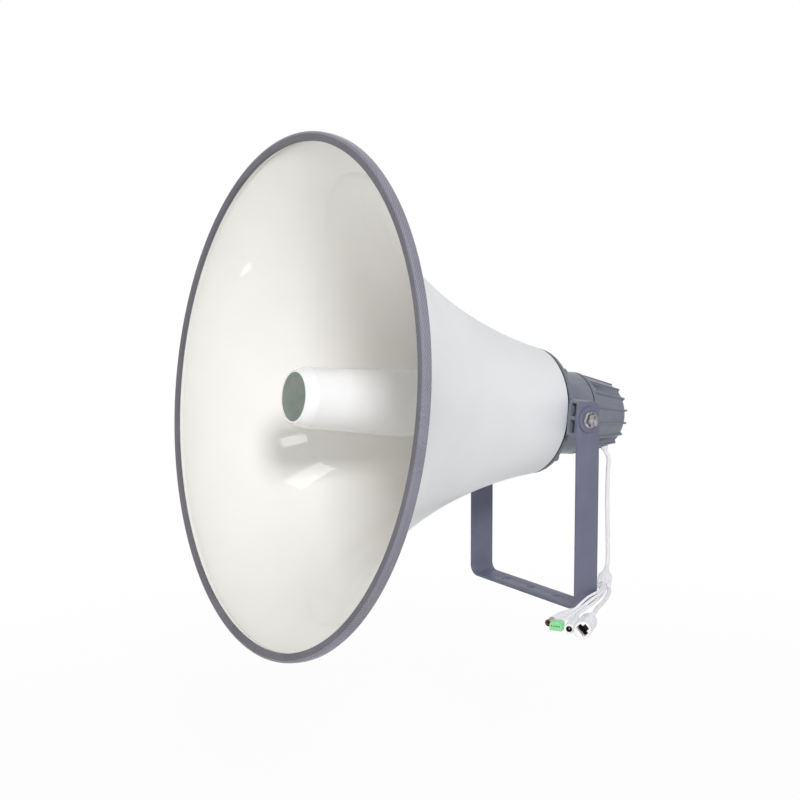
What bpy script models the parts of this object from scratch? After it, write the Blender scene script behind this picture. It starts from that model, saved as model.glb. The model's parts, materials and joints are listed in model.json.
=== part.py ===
"""PA horn speaker: a re-entrant horn on a U bracket, with its driver and a breakout cable.

Metres, +Z up. The origin is the centre of the bracket's underside and the mouth looks toward -Y.
Horn pieces are modelled about the tilt axis, where s is the distance from that axis toward the
mouth and r is the distance from the horn's own axis. They hang from one empty on the tilt axis.
"""
import math

import bmesh
import bpy
from mathutils import Matrix, Vector

# Clearances
GAP = 0.0003
SCREW_CLEARANCE = 0.0003
# How far a cutter runs past the faces it opens
OVERCUT = 0.002

# Facets round each kind of piece
BELL_SIDES = 60
CASTING_SIDES = 36
DRIVER_SIDES = 16
SCREW_SIDES = 8
PIVOT_SIDES = 20
BOSS_SIDES = 12
HOLE_SIDES = 16

# Aim and bracket
REST_AIM = math.radians(6.5)
PIVOT_HEIGHT = 0.202
STRAP_WIDTH = 0.030
STRAP_THICKNESS = 0.003
STRAP_OVER_PIVOT = 0.019
STRAP_END_RADIUS = 0.009
BEND_INNER_RADIUS = 0.009
BASE_HOLE_RADIUS = 0.0043
BASE_HOLE_PITCH = 0.045

# Pivot hardware
PIVOT_BOLT_RADIUS = 0.004
PIVOT_HEAD_FLANGE_RADIUS = 0.0088
PIVOT_HEAD_FLANGE_THICKNESS = 0.0016
PIVOT_HEX_WIDTH = 0.0125
PIVOT_HEX_HEIGHT = 0.005
PIVOT_HEX_SUNK = 0.0004
PIVOT_HEAD_EDGE = 0.0006
PIVOT_BOLT_GRIP = 0.020
PIVOT_WASHER_RADIUS = 0.0135
PIVOT_WASHER_THICKNESS = 0.0015
FRICTION_WASHER_RADIUS = 0.0125
FRICTION_WASHER_THICKNESS = 0.0007

# Bell
BELL_WALL = 0.0015
BELL_REAR = 0.0073
BELL_REAR_RADIUS = 0.0705
BELL_LIP_RADIUS = 0.2490
BELL_LIP_START = 0.3060
BELL_LIP_LENGTH = 0.0071
FLARE_POWER = 1.2
LIP_FLARE = 0.072
LIP_POWER = 20
FLARE_POINTS = 9

# Edging round the mouth
TRIM_INNER_LEG = 0.0027
TRIM_OUTER_LEG = 0.0057
TRIM_FRONT = 0.0022
TRIM_INNER_DEPTH = 0.0076
TRIM_OUTER_DEPTH = 0.0115
TRIM_CORNER = 0.0030
TRIM_JOINT = 0.0008

# Reflector tube and badge
REFLECTOR_REAR = 0.036
REFLECTOR_REAR_RADIUS = 0.0398
REFLECTOR_SHOULDER = 0.2855
REFLECTOR_SHOULDER_RADIUS = 0.0301
REFLECTOR_FRONT = 0.2976
REFLECTOR_FACE_RADIUS = 0.0262
REFLECTOR_WALL = 0.0016
BADGE_RADIUS = 0.0240
BADGE_THICKNESS = 0.0008
BADGE_EDGE = 0.0003
NOSE_ROUND = 0.0016

# Throat tube and the webs that carry the reflector
THROAT_RADIUS = 0.0125
THROAT_MOUTH_RADIUS = 0.0170
THROAT_WALL = 0.0018
THROAT_FRONT = 0.258
THROAT_FLANGE_RADIUS = 0.0335
THROAT_FLANGE_THICKNESS = 0.003
THROAT_FILLET = 0.002
WEB_COUNT = 4
WEB_THICKNESS = 0.0024
WEB_START = 0.055
WEB_LENGTH = 0.055
WEB_TOE = 0.012

# Base casting
GASKET_THICKNESS = 0.0016
GASKET_INSET = 0.0005
FLANGE_INSET = 0.0015
FLANGE_THICKNESS = 0.006
LAND_RADIUS = 0.0345
NECK_RADIUS = 0.0463
NECK_WALL = 0.0038
NECK_FILLET = 0.003
COLLAR_STEP = 0.0014
COLLAR_LENGTH = 0.0075
CASTING_EDGE = 0.001
NECK_END = -0.0505
BOSS_INSET = 0.0055
BOSS_RADIUS = 0.0055
BOSS_HEIGHT = 0.0034
BOSS_DOME = 0.0016
RIB_THICKNESS = 0.003
RIB_REACH = 0.012
RIB_SUNK = 0.002
EAR_FRONT = 0.0118
EAR_BACK = 0.015
EAR_HALF_HEIGHT = 0.019
EAR_CLEARANCE = 0.0013
EAR_LIP_OFFSET = 0.0040
EAR_LIP_WIDTH = 0.0162
EAR_ROOT_INSET = 0.0063
EAR_STEP = 0.0001
EAR_CORNER = 0.0015
POCKET_END_WALL = 0.0032
POCKET_WIDTH = 0.0082
POCKET_RIB = 0.0040
POCKET_FRAME = 0.0035
POCKET_DEPTH = 0.018
PIVOT_BOSS_RADIUS = 0.0075
PIVOT_BOSS_ROOT = 0.004

# Rear cover
SEAL_THICKNESS = 0.0012
SEAL_DEPTH = 0.0016
COVER_RIM = 0.0042
COVER_STEP = 0.001
COVER_SHOULDER = 0.0017
COVER_WALL = 0.003
COVER_END = -0.0995
COVER_TAPER = 0.0093
COVER_CHAMFER = 0.0075
COVER_FACE_INSET = 0.0040
COVER_TURN = math.radians(2.5)
COVER_DISH_INSET = 0.0075
COVER_DISH_DEPTH = 0.0012
FIN_STATIONS = 16
FIN_THICKNESS = 0.0018
FIN_START_HEIGHT = 0.0009
FIN_END_HEIGHT = 0.0013
FIN_OVERHANG = 0.0003
FIN_START_INSET = 0.0005
FIN_FOOT_INSET = 0.0008
FIN_FOOT = 0.0012
CHANNEL_RADIUS = 0.0050
CHANNEL_WALL = 0.0015
CHANNEL_OFFSET = 0.0025
COVER_SCREW_INSET = 0.0063
COVER_BOSS_RADIUS = 0.0045
COVER_BOSS_LENGTH = 0.014
COVER_BOSS_INSET = 0.0004
COVER_SCREW_GRIP = 0.010

# Screws: shank radius, head radius, head height
FLANGE_SCREW = (0.0025, 0.0042, 0.0026)
THROAT_SCREW = (0.00175, 0.0030, 0.0020)
DRIVER_SCREW = (0.0020, 0.0032, 0.0028)
COVER_SCREW = (0.0020, 0.0036, 0.0026)
THROAT_SCREW_CIRCLE = 0.0255
DRIVER_SCREW_INSET = 0.0029
FLANGE_SCREW_BITE = 0.0004
THROAT_SCREW_SHORT = 0.0020
DRIVER_SCREW_BITE = 0.0036
SCREW_TIP_SPACE = 0.001
THROAT_TIP_SPACE = 0.0004

# Driver
DRIVER_CLEARANCE = 0.0020
PLUG_INSET = 0.0070
PLUG_THICKNESS = 0.004
PLUG_TIP = 0.010
PLUG_NOSE = ((0.0035, 0.0015), (0.0080, 0.0065))
PLUG_CORE_INSET = 0.0020
PLUG_SLOT_COUNT = 8
PLUG_SLOT_WIDTH = 0.0024
PLUG_SLOT_MARGIN = 0.0011
PLUG_SLOT_INSET = 0.0006
DOME_INSET = 0.0119
DOME_HEIGHT = 0.003
DOME_THICKNESS = 0.0005
DOME_CLEARANCE = 0.0011
COIL_WALL = 0.0010
COIL_LENGTH = 0.0084
COIL_CLEARANCE = 0.0006
SURROUND_OFFSET = 0.0010
SURROUND_CLAMP_WIDTH = 0.0040
SURROUND_THICKNESS = 0.0006
SURROUND_ROLL = 0.0018
CLAMP_LIP_THICKNESS = 0.0030
TOP_PLATE_THICKNESS = 0.005
MAGNET_GAP_OFFSET = 0.0020
POLE_INSET = 0.0012
POLE_TOP_DROP = 0.0008
MAGNET_BORE_SPACE = 0.0034
MAGNET_INSET = 0.0065
MAGNET_THICKNESS = 0.012
BACK_PLATE_OVERHANG = 0.0010
BACK_PLATE_THICKNESS = 0.005

# Amplifier board
STANDOFF_LENGTH = 0.0094
STANDOFF_RADIUS = 0.0028
STANDOFF_INSET = 0.0115
BOARD_INSET = 0.0090
BOARD_THICKNESS = 0.0016
TRANSFORMER_SIZE = (0.026, 0.016, 0.022)
CAPACITOR_RADIUS = 0.006
CAPACITOR_LENGTH = 0.018
CAPACITOR_SPACE = 0.0045

# Cable
TRUNK_RADIUS = 0.0024
GROMMET_STATION = -0.0955
OUTLET_BAY = 13
GROMMET_BORE = 0.0027
GROMMET_NECK_RADIUS = 0.0032
GROMMET_FLANGE_RADIUS = 0.0038
GROMMET_FLANGE = 0.0016
GROMMET_NOSE = 0.002
GROMMET_SPIGOT = 0.0028
GROMMET_LIP = 0.0008
TRUNK_INSIDE = 0.0005
TRUNK_STRAIGHT = 0.001

# Pieces worked out from the sizes above
MOUTH_FRONT = BELL_LIP_START + BELL_LIP_LENGTH + GAP + TRIM_FRONT
GASKET_RADIUS = BELL_REAR_RADIUS - GASKET_INSET
FLANGE_RADIUS = BELL_REAR_RADIUS - FLANGE_INSET
BOSS_CIRCLE = FLANGE_RADIUS - BOSS_INSET
EAR_LIP = BELL_REAR_RADIUS + EAR_LIP_OFFSET
EAR_END = EAR_LIP + EAR_LIP_WIDTH
STRAP_INNER = EAR_END + EAR_CLEARANCE
STRAP_OUTER = STRAP_INNER + STRAP_THICKNESS
FLANGE_FRONT = BELL_REAR - 2 * GAP - GASKET_THICKNESS
FLANGE_BACK = FLANGE_FRONT - FLANGE_THICKNESS
FLANGE_SCREW_END = FLANGE_BACK - FLANGE_SCREW_BITE
THROAT_SCREW_END = FLANGE_BACK + THROAT_SCREW_SHORT
DRIVER_SCREW_END = FLANGE_BACK + DRIVER_SCREW_BITE
NECK_BORE = NECK_RADIUS - NECK_WALL
COLLAR_RADIUS = NECK_RADIUS + COLLAR_STEP
EAR_ROOT = NECK_RADIUS - EAR_ROOT_INSET
CLAMP_RADIUS = NECK_BORE - DRIVER_CLEARANCE
DRIVER_SCREW_CIRCLE = CLAMP_RADIUS - DRIVER_SCREW_INSET
PLUG_RADIUS = CLAMP_RADIUS - PLUG_INSET
PLUG_CORE_RADIUS = THROAT_RADIUS - PLUG_CORE_INSET
DOME_RADIUS = PLUG_RADIUS - DOME_INSET
PLUG_SLOT_END = DOME_RADIUS - PLUG_SLOT_MARGIN
SURROUND_INNER = DOME_RADIUS + SURROUND_OFFSET
POLE_RADIUS = DOME_RADIUS - POLE_INSET
MAGNET_GAP_OUTER = DOME_RADIUS + MAGNET_GAP_OFFSET
MAGNET_INNER = MAGNET_GAP_OUTER + MAGNET_BORE_SPACE
MAGNET_RADIUS = CLAMP_RADIUS - MAGNET_INSET
BACK_PLATE_RADIUS = MAGNET_RADIUS + BACK_PLATE_OVERHANG
BOARD_RADIUS = NECK_BORE - BOARD_INSET
STANDOFF_CIRCLE = BOARD_RADIUS - STANDOFF_INSET
CAPACITOR_CIRCLE = TRANSFORMER_SIZE[0] / 2 + CAPACITOR_SPACE + CAPACITOR_RADIUS
LAND_FRONT = BELL_REAR - GAP
BELL_FLANGE_FRONT = BELL_REAR + BELL_WALL
THROAT_REAR = BELL_FLANGE_FRONT + GAP
COVER_FRONT = NECK_END - 2 * GAP - SEAL_THICKNESS
COVER_CONE_START = COVER_FRONT - COVER_RIM - COVER_STEP
COVER_REAR = COVER_END - COVER_CHAMFER
COVER_END_RADIUS = NECK_RADIUS - COVER_TAPER
COVER_FACE_RADIUS = COVER_END_RADIUS - COVER_FACE_INSET
COVER_DISH_RADIUS = COVER_FACE_RADIUS - COVER_DISH_INSET
COVER_SCREW_CIRCLE = NECK_RADIUS - COVER_SCREW_INSET
FIN_STEP = math.tau / FIN_STATIONS
GROMMET_ANGLE = COVER_TURN + OUTLET_BAY * FIN_STEP
COVER_SEAT = COVER_CONE_START - CHANNEL_OFFSET
HORN_FRAME = Matrix.Translation((0, 0, PIVOT_HEIGHT)) @ Matrix.Rotation(-REST_AIM, 4, "X")


def linear(hex_colour):
    """Turn an sRGB hex colour into linear red, green, blue and alpha."""
    values = [int(hex_colour[i:i + 2], 16) / 255 for i in (0, 2, 4)]
    return [v / 12.92 if v <= 0.04045 else ((v + 0.055) / 1.055) ** 2.4 for v in values] + [1.0]


def make_material(name, hex_colour, roughness, metallic=0.0):
    """A Principled material with the piece's own colour and sheen."""
    material = bpy.data.materials.new(name)
    material.use_nodes = True
    shader = material.node_tree.nodes["Principled BSDF"]
    shader.inputs["Base Color"].default_value = linear(hex_colour)
    shader.inputs["Roughness"].default_value = roughness
    shader.inputs["Metallic"].default_value = metallic
    material.diffuse_color = linear(hex_colour)
    return material


def clear_scene():
    """Remove the objects of the open scene."""
    for obj in list(bpy.data.objects):
        bpy.data.objects.remove(obj, do_unlink=True)


def finish_mesh(name, bm, material, parent=None, placed=None):
    """Turn a bmesh into a named object with outward faces and smooth round sides."""
    bmesh.ops.remove_doubles(bm, verts=bm.verts, dist=1e-6)
    bmesh.ops.recalc_face_normals(bm, faces=bm.faces)
    mesh = bpy.data.meshes.new(name)
    bm.to_mesh(mesh)
    bm.free()
    mesh.shade_smooth()
    mesh.set_sharp_from_angle(angle=math.radians(35))
    mesh.materials.append(material)
    obj = bpy.data.objects.new(name, mesh)
    bpy.context.scene.collection.objects.link(obj)
    obj.parent = parent
    if placed is not None:
        obj.matrix_basis = placed
    return obj


def turned_mesh(profile, sides, arc=math.tau, start=0.0):
    """Spin a closed (r, s) profile about the Y axis; s runs toward -Y."""
    bm = bmesh.new()
    turn = Matrix.Rotation(start, 4, "Y")
    verts = [bm.verts.new(turn @ Vector((r, -s, 0.0))) for r, s in profile]
    pairs = list(zip(verts, verts[1:] + verts[:1]))
    on_axis = {v for v, (r, _) in zip(verts, profile) if r < 1e-9}
    edges = [bm.edges.new(pair) for pair in pairs if not set(pair) <= on_axis]
    whole = abs(arc - math.tau) < 1e-9
    geometry = verts + edges
    if not whole:
        geometry.append(bm.faces.new(verts))
    bmesh.ops.spin(bm, geom=geometry, cent=(0, 0, 0), axis=(0, 1, 0), dvec=(0, 0, 0),
                   angle=arc, steps=sides, use_merge=whole, use_duplicate=False)
    return bm


def turned(name, profile, sides, material, parent=None, placed=None):
    """A piece turned about the Y axis from a closed (r, s) profile."""
    return finish_mesh(name, turned_mesh(profile, sides), material, parent, placed)


def prism_mesh(outline, depth):
    """Extrude a closed outline of (x, y) points through depth, centred on z = 0."""
    bm = bmesh.new()
    face = bm.faces.new([bm.verts.new((x, y, -depth / 2)) for x, y in outline])
    grown = bmesh.ops.extrude_face_region(bm, geom=[face])
    top = [item for item in grown["geom"] if isinstance(item, bmesh.types.BMVert)]
    bmesh.ops.translate(bm, verts=top, vec=(0, 0, depth))
    return bm


def box_mesh(low, high):
    """A box between two corners."""
    bm = bmesh.new()
    bmesh.ops.create_cube(bm, size=1.0)
    size = Vector(high) - Vector(low)
    centre = (Vector(high) + Vector(low)) / 2
    bmesh.ops.transform(bm, matrix=Matrix.Translation(centre) @ Matrix.Diagonal(size).to_4x4(),
                        verts=bm.verts)
    return bm


def merged(meshes):
    """One bmesh that holds several separate closed shapes."""
    total = bmesh.new()
    for bm, placed in meshes:
        bm.transform(placed)
        copy = bpy.data.meshes.new("shape")
        bm.to_mesh(copy)
        bm.free()
        total.from_mesh(copy)
        bpy.data.meshes.remove(copy)
    return total


def hidden(name, bm, parent=None):
    """A guide shape for a Boolean, kept out of the model."""
    obj = finish_mesh(name, bm, MATERIALS["guide"], parent)
    obj.hide_render = True
    obj.display_type = "WIRE"
    return obj


def combine(target, shape, operation, solver="EXACT"):
    """Add a Boolean that joins the shape to the target or cuts it away."""
    modifier = target.modifiers.new(shape.name, "BOOLEAN")
    modifier.operation = operation
    modifier.object = shape
    modifier.solver = solver


def join(target, name, meshes, solver="EXACT"):
    """Join placed shapes onto a piece."""
    combine(target, hidden(name, merged(meshes), target.parent), "UNION", solver)


def cut(target, name, meshes, solver="EXACT"):
    """Cut placed shapes out of a piece."""
    combine(target, hidden(name, merged(meshes), target.parent), "DIFFERENCE", solver)


def rod_mesh(radius, start, end, sides=SCREW_SIDES):
    """A plain round rod along the horn's axis between two stations."""
    return turned_mesh([(0, start), (radius, start), (radius, end), (0, end)], sides)


def at_angle(radius, angle):
    """Place something parallel to the horn's axis, at a radius and an angle from +X."""
    return Matrix.Rotation(-angle, 4, "Y") @ Matrix.Translation((radius, 0, 0))


def across(side):
    """Turn a shape made along -Y so that it points to +X or -X."""
    return Matrix.Rotation(side * math.pi / 2, 4, "Z")


def arc_points(centre, radius, start, end, count):
    """Points along an arc, angles in degrees."""
    angles = [math.radians(start + (end - start) * i / count) for i in range(count + 1)]
    return [(centre[0] + radius * math.cos(a), centre[1] + radius * math.sin(a)) for a in angles]


def screw_profile(size, seat, end):
    """A pan-headed screw whose head sits on the station seat and whose shank runs to end."""
    shank, head, height = size
    way = 1 if seat > end else -1
    top = seat + way * height
    return [(0, end), (shank, end), (shank, seat), (head, seat), (head, seat + way * height * 0.45),
            (head * 0.72, top - way * height * 0.1), (head * 0.35, top), (0, top)]


def flare(s):
    """Outer radius of the bell at station s."""
    x = (s - BELL_REAR) / (BELL_LIP_START - BELL_REAR)
    total = math.log(BELL_LIP_RADIUS / BELL_REAR_RADIUS)
    return BELL_REAR_RADIUS * math.exp((total - LIP_FLARE) * x ** FLARE_POWER + LIP_FLARE * x ** LIP_POWER)


def flare_slope(s):
    """Slope of the bell's outer radius at station s."""
    step = 1e-5
    low = max(s - step, BELL_REAR)
    return (flare(s + step) - flare(low)) / (s + step - low)


def flare_stations():
    """Stations along the bell, closer together toward the mouth."""
    length = BELL_LIP_START - BELL_REAR
    return [BELL_REAR + length * (1 - (1 - i / FLARE_POINTS) ** 1.55) for i in range(FLARE_POINTS + 1)]


def bell_profile():
    """Closed profile of the spun bell: flare, forward lip, inner face and rear flange."""
    stations = flare_stations()
    outer = [(flare(s), s) for s in stations]
    lip_end = BELL_LIP_START + BELL_LIP_LENGTH
    inner = []
    for s in stations[1:-1]:
        slope = flare_slope(s)
        scale = BELL_WALL / math.hypot(1, slope)
        inner.append((flare(s) - scale, s + scale * slope))
    lip_inner = BELL_LIP_RADIUS - BELL_WALL
    lip = [(BELL_LIP_RADIUS, lip_end), (lip_inner, lip_end), (lip_inner, BELL_LIP_START + BELL_WALL * 0.5)]
    rear = [(BELL_REAR_RADIUS - BELL_WALL, BELL_FLANGE_FRONT), (THROAT_RADIUS, BELL_FLANGE_FRONT),
            (THROAT_RADIUS, BELL_REAR)]
    return outer + lip + inner[::-1] + rear


def screw_hole(size, start, end, circle, angle):
    """A clearance hole for one screw, with its place."""
    return rod_mesh(size[0] + SCREW_CLEARANCE, start, end), at_angle(circle, angle)


BOSS_ANGLES = [math.radians(45 + 90 * i) for i in range(4)]
COVER_ANGLES = [a + COVER_TURN for a in BOSS_ANGLES]
THIRD_ANGLES = [math.radians(90 + 120 * i) for i in range(3)]


def make_bell(horn):
    """The spun bell, drilled for the screws that hold it to the casting."""
    bell = turned("bell", bell_profile(), BELL_SIDES, MATERIALS["bell_paint"], horn)
    front, back = BELL_FLANGE_FRONT + OVERCUT, BELL_REAR - OVERCUT
    holes = [screw_hole(FLANGE_SCREW, front, back, BOSS_CIRCLE, a) for a in BOSS_ANGLES]
    holes += [screw_hole(THROAT_SCREW, front, back, THROAT_SCREW_CIRCLE, a) for a in THIRD_ANGLES]
    cut(bell, "guide_bell_holes", holes)
    return bell


def trim_profile():
    """U section that wraps the bell's lip, with round front corners."""
    outer = BELL_LIP_RADIUS + GAP + TRIM_OUTER_LEG
    slot_outer = BELL_LIP_RADIUS + GAP
    slot_inner = BELL_LIP_RADIUS - BELL_WALL - GAP
    inner = slot_inner - TRIM_INNER_LEG
    slot_end = BELL_LIP_START + BELL_LIP_LENGTH + GAP
    back = MOUTH_FRONT - TRIM_OUTER_DEPTH
    inner_back = MOUTH_FRONT - TRIM_INNER_DEPTH
    corner = TRIM_CORNER
    small = corner * 0.7
    profile = [(slot_outer, back), (outer - small, back), (outer, back + small)]
    profile += arc_points((outer - corner, MOUTH_FRONT - corner), corner, 0, 90, 2)
    profile += arc_points((inner + small, MOUTH_FRONT - small), small, 90, 180, 1)
    profile += [(inner, inner_back), (slot_inner, inner_back), (slot_inner, slot_end), (slot_outer, slot_end)]
    return profile


def make_trim(horn):
    """The edging, one length bent round the mouth and butted at the bottom."""
    joint = TRIM_JOINT / BELL_LIP_RADIUS
    bm = turned_mesh(trim_profile(), BELL_SIDES, math.tau - joint, math.pi / 2 + joint / 2)
    return finish_mesh("rim_trim", bm, MATERIALS["trim"], horn)


def reflector_radius(s):
    """Outer radius of the reflector tube's taper at station s."""
    share = (s - REFLECTOR_REAR) / (REFLECTOR_SHOULDER - REFLECTOR_REAR)
    return REFLECTOR_REAR_RADIUS + (REFLECTOR_SHOULDER_RADIUS - REFLECTOR_REAR_RADIUS) * share


def make_reflector(horn):
    """The closed tube in the mouth, with a recess in its nose for the badge."""
    recess_floor = REFLECTOR_FRONT - BADGE_THICKNESS - GAP
    recess = BADGE_RADIUS + GAP
    nose_inside = recess_floor - REFLECTOR_WALL
    profile = [(REFLECTOR_REAR_RADIUS, REFLECTOR_REAR),
               (REFLECTOR_SHOULDER_RADIUS, REFLECTOR_SHOULDER),
               (REFLECTOR_SHOULDER_RADIUS - NOSE_ROUND * 0.25, REFLECTOR_SHOULDER + NOSE_ROUND),
               (REFLECTOR_FACE_RADIUS + NOSE_ROUND * 0.4, REFLECTOR_FRONT - NOSE_ROUND * 0.55),
               (REFLECTOR_FACE_RADIUS, REFLECTOR_FRONT), (recess, REFLECTOR_FRONT),
               (recess, recess_floor), (0, recess_floor), (0, nose_inside),
               (REFLECTOR_FACE_RADIUS - REFLECTOR_WALL, nose_inside),
               (REFLECTOR_SHOULDER_RADIUS - REFLECTOR_WALL, REFLECTOR_SHOULDER),
               (REFLECTOR_REAR_RADIUS - REFLECTOR_WALL, REFLECTOR_REAR)]
    turned("reflector_tube", profile, CASTING_SIDES, MATERIALS["reflector_paint"], horn)
    badge_back = recess_floor + GAP
    badge = [(0, badge_back), (BADGE_RADIUS, badge_back), (BADGE_RADIUS, REFLECTOR_FRONT - BADGE_EDGE),
             (BADGE_RADIUS - BADGE_EDGE, REFLECTOR_FRONT), (0, REFLECTOR_FRONT)]
    turned("nose_badge", badge, CASTING_SIDES, MATERIALS["badge"], horn)


def make_throat_tube(horn):
    """The inner tube, whose webs reach out to the reflector's wall."""
    flange_front = THROAT_REAR + THROAT_FLANGE_THICKNESS
    root = THROAT_RADIUS + THROAT_WALL
    tip = THROAT_MOUTH_RADIUS + THROAT_WALL
    profile = [(THROAT_RADIUS, THROAT_REAR), (THROAT_FLANGE_RADIUS, THROAT_REAR),
               (THROAT_FLANGE_RADIUS, flange_front), (root + THROAT_FILLET, flange_front),
               (root, flange_front + THROAT_FILLET), (tip, THROAT_FRONT), (THROAT_MOUTH_RADIUS, THROAT_FRONT)]
    tube = turned("throat_tube", profile, CASTING_SIDES, MATERIALS["reflector_paint"], horn)
    web_end = WEB_START + WEB_LENGTH
    inner_edge = root
    reach = REFLECTOR_WALL + GAP
    outline = [(inner_edge, -WEB_START + WEB_TOE), (reflector_radius(WEB_START) - reach, -WEB_START),
               (reflector_radius(web_end) - reach, -web_end), (inner_edge, -web_end - WEB_TOE)]
    webs = [(prism_mesh(outline, WEB_THICKNESS), Matrix.Rotation(math.tau * i / WEB_COUNT, 4, "Y"))
            for i in range(WEB_COUNT)]
    join(tube, "guide_throat_webs", webs)
    holes = [screw_hole(THROAT_SCREW, THROAT_REAR - OVERCUT, flange_front + OVERCUT, THROAT_SCREW_CIRCLE, a)
             for a in THIRD_ANGLES]
    cut(tube, "guide_throat_holes", holes)
    return flange_front


def make_bell_screws(horn, throat_seat):
    """Four screws through the bell's flange and three through the throat tube's flange."""
    for number, angle in enumerate(BOSS_ANGLES, 1):
        profile = screw_profile(FLANGE_SCREW, THROAT_REAR, FLANGE_SCREW_END)
        turned(f"flange_screw_{number}", profile, SCREW_SIDES, MATERIALS["zinc"], horn,
               at_angle(BOSS_CIRCLE, angle))
    for number, angle in enumerate(THIRD_ANGLES, 1):
        profile = screw_profile(THROAT_SCREW, throat_seat + GAP, THROAT_SCREW_END)
        turned(f"throat_screw_{number}", profile, SCREW_SIDES, MATERIALS["zinc"], horn,
               at_angle(THROAT_SCREW_CIRCLE, angle))


def make_gasket(horn):
    """Flat rubber ring between the bell and the casting."""
    back, front = FLANGE_FRONT + GAP, BELL_REAR - GAP
    inner = LAND_RADIUS + GAP
    profile = [(inner, back), (GASKET_RADIUS, back), (GASKET_RADIUS, front), (inner, front)]
    gasket = turned("bell_gasket", profile, CASTING_SIDES, MATERIALS["rubber"], horn)
    holes = [screw_hole(FLANGE_SCREW, front + OVERCUT, back - OVERCUT, BOSS_CIRCLE, a) for a in BOSS_ANGLES]
    cut(gasket, "guide_gasket_holes", holes)


def boss_mesh():
    """A round boss with a domed end, behind the flange."""
    end = FLANGE_BACK - BOSS_HEIGHT
    front = FLANGE_FRONT - CASTING_EDGE
    profile = [(0, front), (BOSS_RADIUS, front), (BOSS_RADIUS, end + BOSS_DOME),
               (BOSS_RADIUS * 0.88, end + BOSS_DOME * 0.4), (BOSS_RADIUS * 0.55, end + BOSS_DOME * 0.06),
               (0, end)]
    return turned_mesh(profile, BOSS_SIDES)


def ear_mesh():
    """One ear: a block on the neck with a lip that reaches forward beside the bell."""
    step = FLANGE_FRONT - EAR_STEP
    outline = [(EAR_ROOT, -step), (EAR_LIP, -step), (EAR_LIP, -EAR_FRONT), (EAR_END, -EAR_FRONT),
               (EAR_END, EAR_BACK), (EAR_ROOT, EAR_BACK)]
    bm = prism_mesh(outline, 2 * EAR_HALF_HEIGHT)
    bmesh.ops.recalc_face_normals(bm, faces=bm.faces)
    outside = [e for e in bm.edges if all(v.co.x > EAR_LIP - 1e-6 for v in e.verts)]
    bmesh.ops.bevel(bm, geom=outside, offset=EAR_CORNER, segments=2, affect="EDGES", profile=0.5)
    return bm


def pocket_meshes(side):
    """The two cored pockets of one ear, open to the front."""
    outer = EAR_END - POCKET_END_WALL
    low_y, high_y = -EAR_FRONT - OVERCUT, -EAR_FRONT + POCKET_DEPTH
    meshes = []
    for way in (1, -1):
        near, far = way * POCKET_RIB / 2, way * (EAR_HALF_HEIGHT - POCKET_FRAME)
        low = (outer - POCKET_WIDTH, low_y, min(near, far))
        high = (outer, high_y, max(near, far))
        meshes.append((box_mesh(low, high), Matrix.Rotation(0 if side > 0 else math.pi, 4, "Y")))
    return meshes


def base_profile():
    """Profile of the casting: land, flange, fillet, neck, bore and flared throat."""
    return [(THROAT_RADIUS, LAND_FRONT), (LAND_RADIUS, LAND_FRONT), (LAND_RADIUS, FLANGE_FRONT),
            (FLANGE_RADIUS, FLANGE_FRONT), (FLANGE_RADIUS, FLANGE_BACK + CASTING_EDGE),
            (FLANGE_RADIUS - CASTING_EDGE, FLANGE_BACK), (COLLAR_RADIUS + NECK_FILLET, FLANGE_BACK),
            (COLLAR_RADIUS + NECK_FILLET * 0.3, FLANGE_BACK - NECK_FILLET * 0.3),
            (COLLAR_RADIUS, FLANGE_BACK - NECK_FILLET), (COLLAR_RADIUS, FLANGE_BACK - COLLAR_LENGTH),
            (NECK_RADIUS, FLANGE_BACK - COLLAR_LENGTH - COLLAR_STEP),
            (NECK_RADIUS, NECK_END), (NECK_BORE, NECK_END), (NECK_BORE, FLANGE_BACK),
            (DOME_RADIUS, FLANGE_BACK), (THROAT_RADIUS, FLANGE_FRONT - CASTING_EDGE)]


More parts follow.
